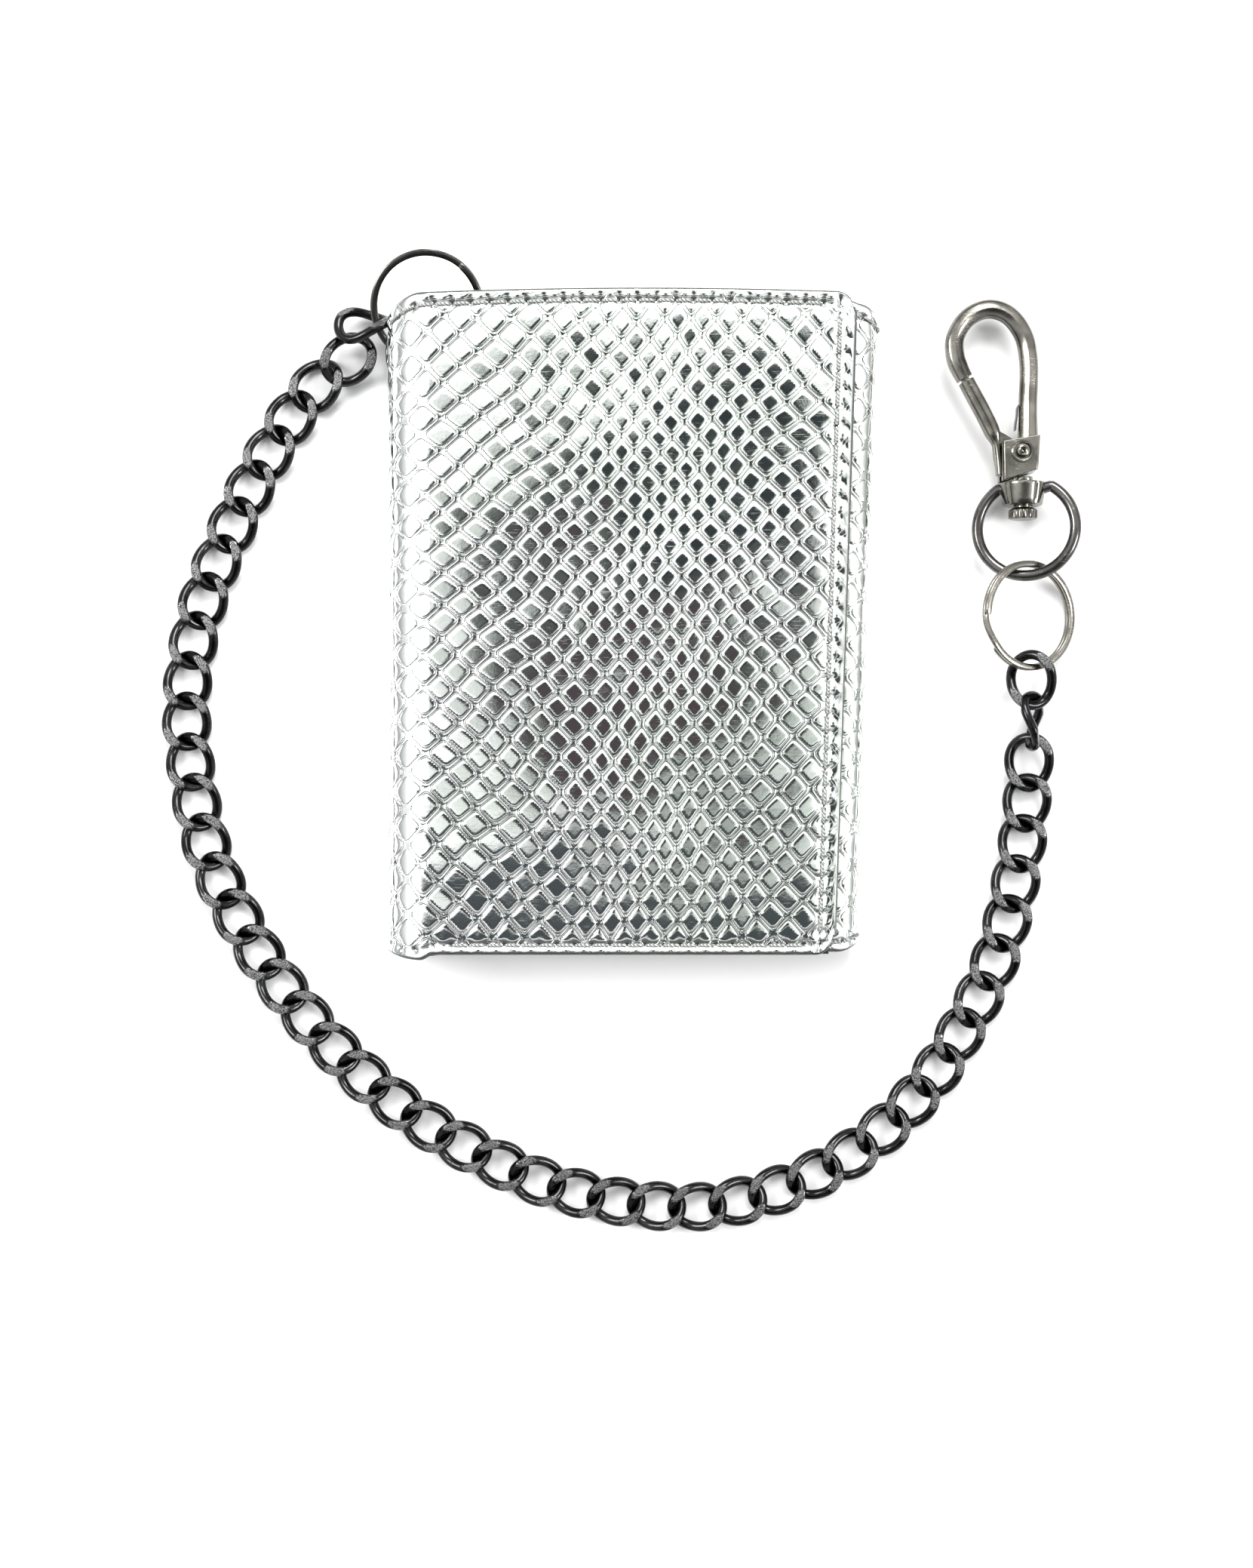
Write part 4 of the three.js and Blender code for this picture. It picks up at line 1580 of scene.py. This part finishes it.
@dataclass
class CurbChain:
    """Forty-eight twisted links with ground faces, laid along a smooth line."""

    finishes: Finishes
    count: int = 48
    links_a_run: int = 4
    half_length: float = 4.47
    half_width: float = 3.55
    wire: float = 1.76
    twist: float = -1.0
    face_at: float = 1.46
    lie: float = 1.85
    route: tuple[tuple[float, float], ...] = (
        (-50.3, 47.9), (-56.4, 43.3), (-65.0, 30.8), (-71.7, 17.1), (-76.8, 3.2), (-79.2, -11.4),
        (-78.2, -26.2), (-74.9, -40.5), (-68.5, -53.8), (-60.3, -65.8), (-50.7, -76.5),
        (-39.7, -85.7), (-27.3, -93.0), (-14.3, -98.6), (0, -101.8), (14.0, -102.2), (27.7, -98.8),
        (40.4, -92.0), (50.9, -82.5), (58.8, -70.7), (64.8, -57.8), (68.3, -43.9), (70.2, -29.7),
        (70.6, -15.3), (70.2, -7.0),
    )
    last_at: float = 333.4

    def link(self, seed: int) -> tuple[np.ndarray, np.ndarray]:
        """One link about the origin, lengthwise along X.

        The wire's centre is (a cos φ, b sin φ, c sin 2φ); a circle is carried round it, and
        whatever stands past the ground faces is pressed back onto them.

        Args:
            seed: Its number, which sets how deep its faces are ground.

        Returns:
            The grid and the share of each point that is on a ground face.
        """
        angle = np.linspace(0, TAU, 64, endpoint=False)[:, None]
        around = np.linspace(0, TAU, 18, endpoint=False)[None, :]
        along, across, wave = np.cos(angle), np.sin(angle), np.sin(2 * angle)
        outward = unit(np.stack([along / self.half_length, across / self.half_width, 0 * angle], axis=-1))
        centre = np.stack(
            [self.half_length * along, self.half_width * across, self.twist * wave], axis=-1
        )
        radius = self.wire / 2
        ring = np.cos(around)[..., None] * outward + np.sin(around)[..., None] * UP
        points = centre + radius * ring
        face = self.face_at + 0.08 * (hashed(np.array(seed), np.array(3), 1.0) - 0.5)
        over = np.maximum(np.abs(points[..., 2]) - face, 0)
        pressed = np.minimum(np.abs(points[..., 2]), face) + 0.06 * over
        points[..., 2] = np.sign(points[..., 2]) * pressed
        return points, smoothstep(0.0, 0.05, over)

    def places(self) -> list[tuple[np.ndarray, np.ndarray]]:
        """Turn and middle of every link.

        Links from the second on are spaced evenly along the line and turned to follow it; the first and
        the last two are laid one by one where they hang from the rings.

        Returns:
            A matrix and a point for each link.
        """
        line = spline(np.array(self.route), 3000)
        length = np.concatenate([[0], np.cumsum(np.linalg.norm(np.diff(line, axis=0), axis=1))])
        spots = np.linspace(0, self.last_at, self.count - 1)
        x, y = (np.interp(spots, length, line[:, k]) for k in (0, 1))
        slope = np.gradient(line, axis=0)
        east, north = (np.interp(spots, length, slope[:, k]) for k in (0, 1))
        yaw = np.degrees(np.arctan2(north, east))
        hung = {2: (3.2, -12.0), 47: (4.4, 70.0), 48: (5.0, -8.0)}
        placed = [(turn(2, 6) @ turn(0, -45), np.array([-47.4, 53.8, 4.6]))]
        for k in range(self.count - 1):
            z, roll = hung.get(k + 2, (self.lie, 2.5 * np.sin(2.4 * k)))
            swing = yaw[k] + (0.0 if k + 2 in hung else 1.6 * np.sin(1.7 * k))
            placed.append((turn(2, swing) @ turn(0, roll), np.array([x[k], y[k], z])))
        return placed

    def build(self) -> None:
        """Make every link and hang it on the body of its run."""
        for number, (matrix, middle) in enumerate(self.places(), start=1):
            grid, ground = self.link(number)
            patch = Patch(grid @ matrix.T + middle, loop=True, values={"ground": ground})
            piece = build_piece(f"chain_link_{number:02d}", [patch], [self.finishes.gunmetal], 28)
            run = (number - 1) // self.links_a_run + 1
            nodes = (f"chain_run_{run:02d}",) if number % self.links_a_run == 1 else ()
            finish(piece, Slot.CHAIN, f"chain_{run:02d}", *nodes)


# ---- clasp ----------------------------------------------------------------------------------


@dataclass
class Swivel:
    """The round bail, the collar that it hangs in and the post that turns in the collar."""

    finishes: Finishes
    axis_x: float = 69.0
    axis_z: float = 4.0
    roll: float = -14.0
    pin_y: float = 24.7
    pin_x: float = 3.0
    bail_x: float = 69.6
    bail_y: float = 17.9
    bail_radius: float = 8.5
    bail_wire: float = 2.0
    bail_rise: float = 0.075
    bail_level_y: float = 24.0
    steps: int = 96

    def rolled(self, points: np.ndarray) -> np.ndarray:
        """Turn points by the roll about the swivel's own line."""
        pivot = np.array([self.axis_x, 0, self.axis_z])
        return (points - pivot) @ turn(1, self.roll).T + pivot

    def on_axis(self, profile: Sequence[tuple[float, float]], ripple: np.ndarray) -> np.ndarray:
        """A lathe shape whose heights are places up the swivel's line.

        Args:
            profile: Radius and height in order.
            ripple: Factors on the radius, profile × steps.

        Returns:
            Rows × steps × 3.
        """
        x, y, height = np.moveaxis(lathe(profile, self.steps, ripple), -1, 0)
        return np.stack([self.axis_x + x, height, self.axis_z - y], axis=-1)

    def build(self) -> None:
        """Make the bail, the collar and the post."""
        angle = np.radians(np.linspace(125, 419, 68))
        x = self.bail_x + self.bail_radius * np.cos(angle)
        y = self.bail_y + self.bail_radius * np.sin(angle)
        z = self.axis_z + self.bail_rise * (self.bail_level_y - y)
        left, right = ([self.axis_x + dx, self.pin_y, self.axis_z] for dx in (-self.pin_x, self.pin_x))
        path = spline(np.vstack([left, np.stack([x, y, z], axis=-1), right]), 110)
        bail = self.rolled(tube(path, oval(self.bail_wire / 2, self.bail_wire / 2, 18), UP))
        piece = build_piece("swivel_ring_wire", [Patch(bail)], [self.finishes.dark_nickel], 45)
        finish(piece, Slot.CHAIN, "bail", "swivel_ring")
        self.collar()
        self.post()

    def collar(self) -> None:
        """The collar: a stepped cup, wider at the top, with two shallow upright grooves."""
        profile = (
            (1.75, 21.95), (3.1, 21.9), (3.36, 22.02), (3.46, 22.2), (3.62, 23.0), (3.78, 23.9),
            (3.92, 24.7), (4.02, 25.3), (4.06, 25.55), (4.02, 25.78), (3.86, 25.88), (3.5, 25.9),
            (1.9, 25.9), (1.72, 25.7),
        )
        angle = np.linspace(0, TAU, self.steps, endpoint=False)
        ripple = np.ones((len(profile), self.steps))
        for at in (230.0, 310.0):
            ripple[3:9] -= 0.05 * np.exp(-((np.degrees(angle) - at) / 4.0) ** 2)
        cup = Patch(self.rolled(self.on_axis(profile, ripple)), loop=True)
        piece = build_piece("swivel_collar_cup", [cup], [self.finishes.clasp], 30)
        finish(piece, Slot.CLASP, "collar", "swivel_collar")

    def post(self) -> None:
        """The post: a knurled foot below the collar and a waisted neck above it."""
        profile = (
            (0.01, 19.55), (1.5, 19.42), (2.2, 19.5), (2.42, 19.7), (2.45, 20.9), (2.3, 21.15),
            (2.05, 21.3), (1.95, 21.45), (1.5, 21.5), (1.5, 25.9), (1.62, 26.0), (1.75, 26.35),
            (1.7, 26.9), (0.01, 27.0),
        )
        wave = np.sin(12 * np.linspace(0, TAU, self.steps, endpoint=False))
        ripple = np.ones((len(profile), self.steps))
        ripple[3:6] += 0.05 * np.sign(wave) * np.abs(wave) ** 0.5
        pin = Patch(self.on_axis(profile, ripple))
        piece = build_piece("swivel_post_pin", [pin], [self.finishes.clasp], 32)
        finish(piece, Slot.CLASP, "snap_hook", "swivel_post")


@dataclass
class SnapHook:
    """The cast hook, its gate, rivet and leaf spring."""

    finishes: Finishes
    centre_z: float = 4.0
    block_half: float = 2.8
    slot_half: float = 1.2
    lug_half: float = 0.9
    web_x: float = 69.9
    rivet: tuple[float, float] = (68.4, 31.1)
    route: tuple[tuple[float, float], ...] = (
        (69.85, 33.2), (69.9, 40), (70.0, 47.5), (69.0, 52.2), (66.2, 55.7), (62.7, 56.6),
        (59.2, 55.0), (57.0, 51.5), (57.1, 48.0), (58.0, 45.7), (58.75, 44.3),
    )
    block: tuple[tuple[float, float, float, float], ...] = (
        (26.0, 28.0, 65.0, 71.25), (28.3, 29.9, 65.0, 71.35),
        (30.6, 31.9, 64.95, 71.5), (32.9, 34.0, 64.9, 71.6),
    )
    gate_line: tuple[tuple[float, float, float], ...] = (
        (58.95, 43.9, 1.36), (60.5, 41.0, 1.42), (62.1, 38.0, 1.40), (63.6, 34.8, 1.30),
        (64.3, 32.6, 0.72), (64.65, 30.0, 0.66), (64.85, 27.2, 0.60),
    )
    lug: tuple[tuple[float, float], ...] = (
        (63.4, 35.6), (63.9, 30.0), (64.6, 27.2), (65.4, 26.9),
        (69.4, 30.0), (69.5, 31.6), (68.8, 32.5), (65.4, 34.6),
    )
    bar_section: tuple[tuple[float, float], ...] = (
        (1.48, 0.75), (0.20, 1.72), (-1.10, 1.25), (-1.5, 0.55),
        (-1.5, -0.55), (-1.10, -1.25), (0.20, -1.72), (1.48, -0.75),
    )
    gate_section: tuple[tuple[float, float], ...] = (
        (1.0, 0.62), (0.35, 1.0), (-0.55, 1.0), (-1.0, 0.55),
        (-1.0, -0.55), (-0.55, -1.0), (0.35, -1.0), (1.0, -0.62),
    )
    tongue_line: tuple[tuple[float, float], ...] = ((58.5, 44.8), (59.3, 43.2))
    spring_line: tuple[tuple[float, float], ...] = (
        (67.6, 35.2), (67.66, 36.1), (67.9, 37.8), (68.05, 39.3), (68.5, 39.9),
    )
    ease: tuple[float, float] = (0.35, 0.3)

    def build(self) -> None:
        """Make the hook, the gate, the rivet and the spring."""
        self.hook()
        self.gate()
        self.rivet_heads()
        self.spring()

    def hook(self) -> None:
        """The block with its gate slot, and the bevelled bar that curls from it to the nose.

        The block is a C-shaped section carried up between a left and a right line. The bar is a
        six-sided section, with one ridge off the middle, carried along the hook's line; it
        thickens into the block and thins at the nose.
        """
        high, gap = self.block_half, self.slot_half
        big, small = self.ease
        rows = []
        for y_left, y_right, left, right in self.block:
            corners = (
                (left, high - big), (left + big, high), (right - small, high),
                (right, high - small), (right, small - high), (right - small, -high),
                (left + big, -high), (left, big - high), (left, -gap), (self.web_x, -gap),
                (self.web_x, gap), (left, gap),
            )
            x, z = np.array(corners).T
            y = y_left + (y_right - y_left) * (x - left) / (right - left)
            rows.append(np.stack([x, y, z + self.centre_z], axis=-1))
        block = Patch(np.array(rows), cap=Cap.POLYGON)
        path = level_spline(self.route, 90, self.centre_z)
        section = polygon(self.bar_section, 4, 1) * np.array([-1.0, 1.0])
        t = np.linspace(0, 1, len(path))
        size = 1.08 + 0.10 * (1 - smoothstep(0.0, 0.12, t)) - 0.10 * smoothstep(0.93, 1.0, t)
        bar = Patch(tube(path, section[None] * size[:, None, None], UP), cap=Cap.POLYGON)
        inside = level_spline(self.tongue_line, 8, self.centre_z)
        tongue = Patch(tube(inside, oval(0.75, 0.6, 12, 4), UP), cap=Cap.POLYGON)
        piece = build_piece("hook_casting", [block, bar, tongue], [self.finishes.clasp], 30)
        bevel(piece, 0.16)
        finish(piece, Slot.CLASP, "snap_hook", "hook_body")

    def gate(self) -> None:
        """The gate: a bevelled bar that narrows to a tail, and the lug that turns on the rivet."""
        line = spline(np.array(self.gate_line), 60)
        path = np.column_stack([line[:, :2], np.full(len(line), self.centre_z)])
        half = line[:, 2]
        deep = 1.15 + 0.40 * smoothstep(0.8, 1.3, half)
        section = polygon(self.gate_section, 3, 1)
        shape = section[None] * np.stack([half, deep], axis=-1)[:, None, :]
        bar = Patch(tube(path, shape, UP), cap=Cap.POLYGON)
        low, high = self.centre_z - self.lug_half, self.centre_z + self.lug_half
        lug = Patch(prism(polygon(self.lug, 3, 1), low, high), cap=Cap.POLYGON)
        piece = build_piece("gate_lever", [bar, lug], [self.finishes.clasp], 30)
        bevel(piece, 0.12)
        finish(piece, Slot.CLASP, "hook_gate", "gate")

    def rivet_heads(self) -> None:
        """The rivet: a pin with a ringed head on each face of the block."""
        top = self.block_half
        head = (
            (0.01, top + 0.20), (0.36, top + 0.02), (0.50, top + 0.40), (0.74, top + 0.52),
            (0.98, top + 0.42), (1.12, top + 0.02), (1.32, top + 0.0), (1.48, top + 0.34),
            (1.74, top + 0.38), (1.96, top + 0.22), (2.04, top - 0.05), (0.8, top - 0.12),
        )
        profile = [*head, *((radius, -height) for radius, height in reversed(head))]
        turned = lathe(profile, 56) + np.array([*self.rivet, self.centre_z])
        piece = build_piece("gate_rivet_pin", [Patch(turned)], [self.finishes.clasp], 30)
        finish(piece, Slot.CLASP, "snap_hook", "gate_rivet")

    def spring(self) -> None:
        """A bent leaf between the right bar and the gate's tail."""
        path = level_spline(self.spring_line, 24, self.centre_z)
        leaf = Patch(tube(path, oval(0.16, 0.75, 12, 5), UP), cap=Cap.POLYGON)
        piece = build_piece("gate_spring_leaf", [leaf], [self.finishes.dark_nickel], 40)
        finish(piece, Slot.CLASP, "snap_hook", "gate_spring")


# ---- stage ----------------------------------------------------------------------------------


@dataclass
class Studio:
    """Camera, pale floor, soft lights and the surroundings that the metal mirrors."""

    camera_at: tuple[float, float, float] = (-0.00103, -0.02726, 0.350)
    lens: float = 44.97
    floor_half: float = 3000.0
    world_strength: float = 1.35
    spots: tuple[tuple[float, float, float, float, Colour, float], ...] = (
        (0.035, 0.085, 0.240, 0.155, colour(0.50, 0.53, 0.50), 0.92),
        (0.020, 0.105, 0.140, 0.145, colour(0.050, 0.058, 0.055), 0.97),
        (0.040, 0.190, 0.095, 0.075, colour(0.020, 0.026, 0.030), 0.95),
        (0.015, 0.045, 0.095, 0.070, colour(0.055, 0.040, 0.048), 0.85),
        (0.000, -0.158, 0.480, 0.105, colour(0.020, 0.028, 0.032), 0.97),
        (0.000, -1.000, 1.100, 0.720, colour(0.03, 0.03, 0.03), 0.92),
    )
    panels: tuple[tuple[str, tuple[float, float, float], float, float], ...] = (
        ("top panel", (0.10, 0.75, 0.80), 0.45, 9.0),
        ("left panel", (-0.75, 0.20, 0.65), 0.35, 6.0),
        ("right panel", (0.80, -0.10, 0.60), 0.30, 5.0),
    )

    def build(self) -> None:
        """Make the camera first, then everything else."""
        self.camera()
        self.floor()
        self.world()
        self.lights()

    def camera(self) -> None:
        """A camera straight above the wallet, its top to +Y."""
        data = bpy.data.cameras.new("camera")
        data.sensor_fit = "VERTICAL"
        data.sensor_height = 36.0
        data.lens = self.lens
        data.clip_start = 0.01
        data.clip_end = 50.0
        camera = bpy.data.objects.new("camera", data)
        camera.location = self.camera_at
        bpy.context.scene.collection.objects.link(camera)
        bpy.context.scene.camera = camera
        bpy.context.scene.view_settings.view_transform = "Standard"

    def floor(self) -> None:
        """A wide level sheet of pale card with a very faint tooth."""
        edge = np.linspace(-self.floor_half, self.floor_half, 3)
        x, y = np.meshgrid(edge, edge)
        points = np.stack([x, y, 0 * x], axis=-1).reshape(-1, 3) * MM
        faces = [(k, k + 1, k + 4, k + 3) for k in (0, 1, 3, 4)]
        mesh = bpy.data.meshes.new("floor")
        mesh.from_pydata(points.tolist(), [], faces)
        material, graph, shader = open_material("pale card")
        tooth = graph.noise(graph.place(), 400.0, 2.0)
        tone = graph.blend(tooth, colour(0.93, 0.93, 0.93), colour(0.96, 0.96, 0.96))
        graph.feed(shader.inputs["Base Color"], tone)
        graph.feed(shader.inputs["Roughness"], graph.ramp(tooth, 0.0, 1.0, 0.7, 0.85))
        shader.inputs["Specular IOR Level"].default_value = 0.1
        mesh.materials.append(material)
        floor = bpy.data.objects.new("floor", mesh)
        bpy.context.scene.collection.objects.link(floor)

    def world(self) -> None:
        """A white room with darker spots: overhead where nothing is lit, low in front, and a
        grey horizon. A spot is its place and half widths as slopes from straight up, x/z and
        y/z of the direction, then its colour and how strongly it covers the room.
        """
        world = bpy.data.worlds.new("soft white room")
        bpy.context.scene.world = world
        world.use_nodes = True
        world.node_tree.nodes.clear()
        graph = Graph(world.node_tree)
        direction = graph.node("ShaderNodeTexCoord").outputs["Generated"]
        split = graph.node("ShaderNodeSeparateXYZ", {"Vector": direction})
        up = graph.math("MAXIMUM", split.outputs["Z"], 0.02)
        across = graph.math("DIVIDE", split.outputs["X"], up)
        ahead = graph.math("DIVIDE", split.outputs["Y"], up)
        room = graph.ramp(split.outputs["Z"], 0.0, 0.80, 0.30, 1.0)
        tone = graph.blend(room, colour(0.0, 0.0, 0.0), colour(1.0, 1.0, 1.0))
        for x, y, wide, deep, shade, amount in self.spots:
            dx = graph.math("DIVIDE", graph.math("SUBTRACT", across, x), wide)
            dy = graph.math("DIVIDE", graph.math("SUBTRACT", ahead, y), deep)
            square = graph.add((dx, dx), (dy, dy))
            tone = graph.blend(graph.ramp(square, 0.55, 1.35, amount, 0.0), tone, shade)
        background = graph.node("ShaderNodeBackground", {"Color": tone, "Strength": self.world_strength})
        output = graph.node("ShaderNodeOutputWorld")
        graph.feed(output.inputs["Surface"], background.outputs["Background"])

    def lights(self) -> None:
        """Three soft panels: a large one behind the top edge and one at each side."""
        for name, place, size, power in self.panels:
            data = bpy.data.lights.new(name, "AREA")
            data.shape = "SQUARE"
            data.size = size
            data.energy = power
            light = bpy.data.objects.new(name, data)
            light.location = place
            light.rotation_euler = (-Vector(place)).to_track_quat("-Z", "Y").to_euler()
            bpy.context.scene.collection.objects.link(light)


def main() -> None:
    """Build the scene in order: stage, wallet, rings, chain and clasp."""
    logging.basicConfig(level=logging.INFO, format="%(message)s")
    Studio().build()
    finishes = Finishes()
    Wallet(finishes).build()
    SplitRing("wallet_ring_coil", (-36.0, 56.4, 6.0627), 0, 19.0, 9.4, 70.0).build(
        finishes.dark_nickel, "wallet_ring", "wallet_split_ring"
    )
    CurbChain(finishes).build()
    SplitRing("end_ring_coil", (69.9, 2.4, 5.0), 1, 26.6, 9.1, 200.0).build(
        finishes.nickel, "end_ring", "end_split_ring"
    )
    Swivel(finishes).build()
    SnapHook(finishes).build()


if __name__ == "__main__":
    main()
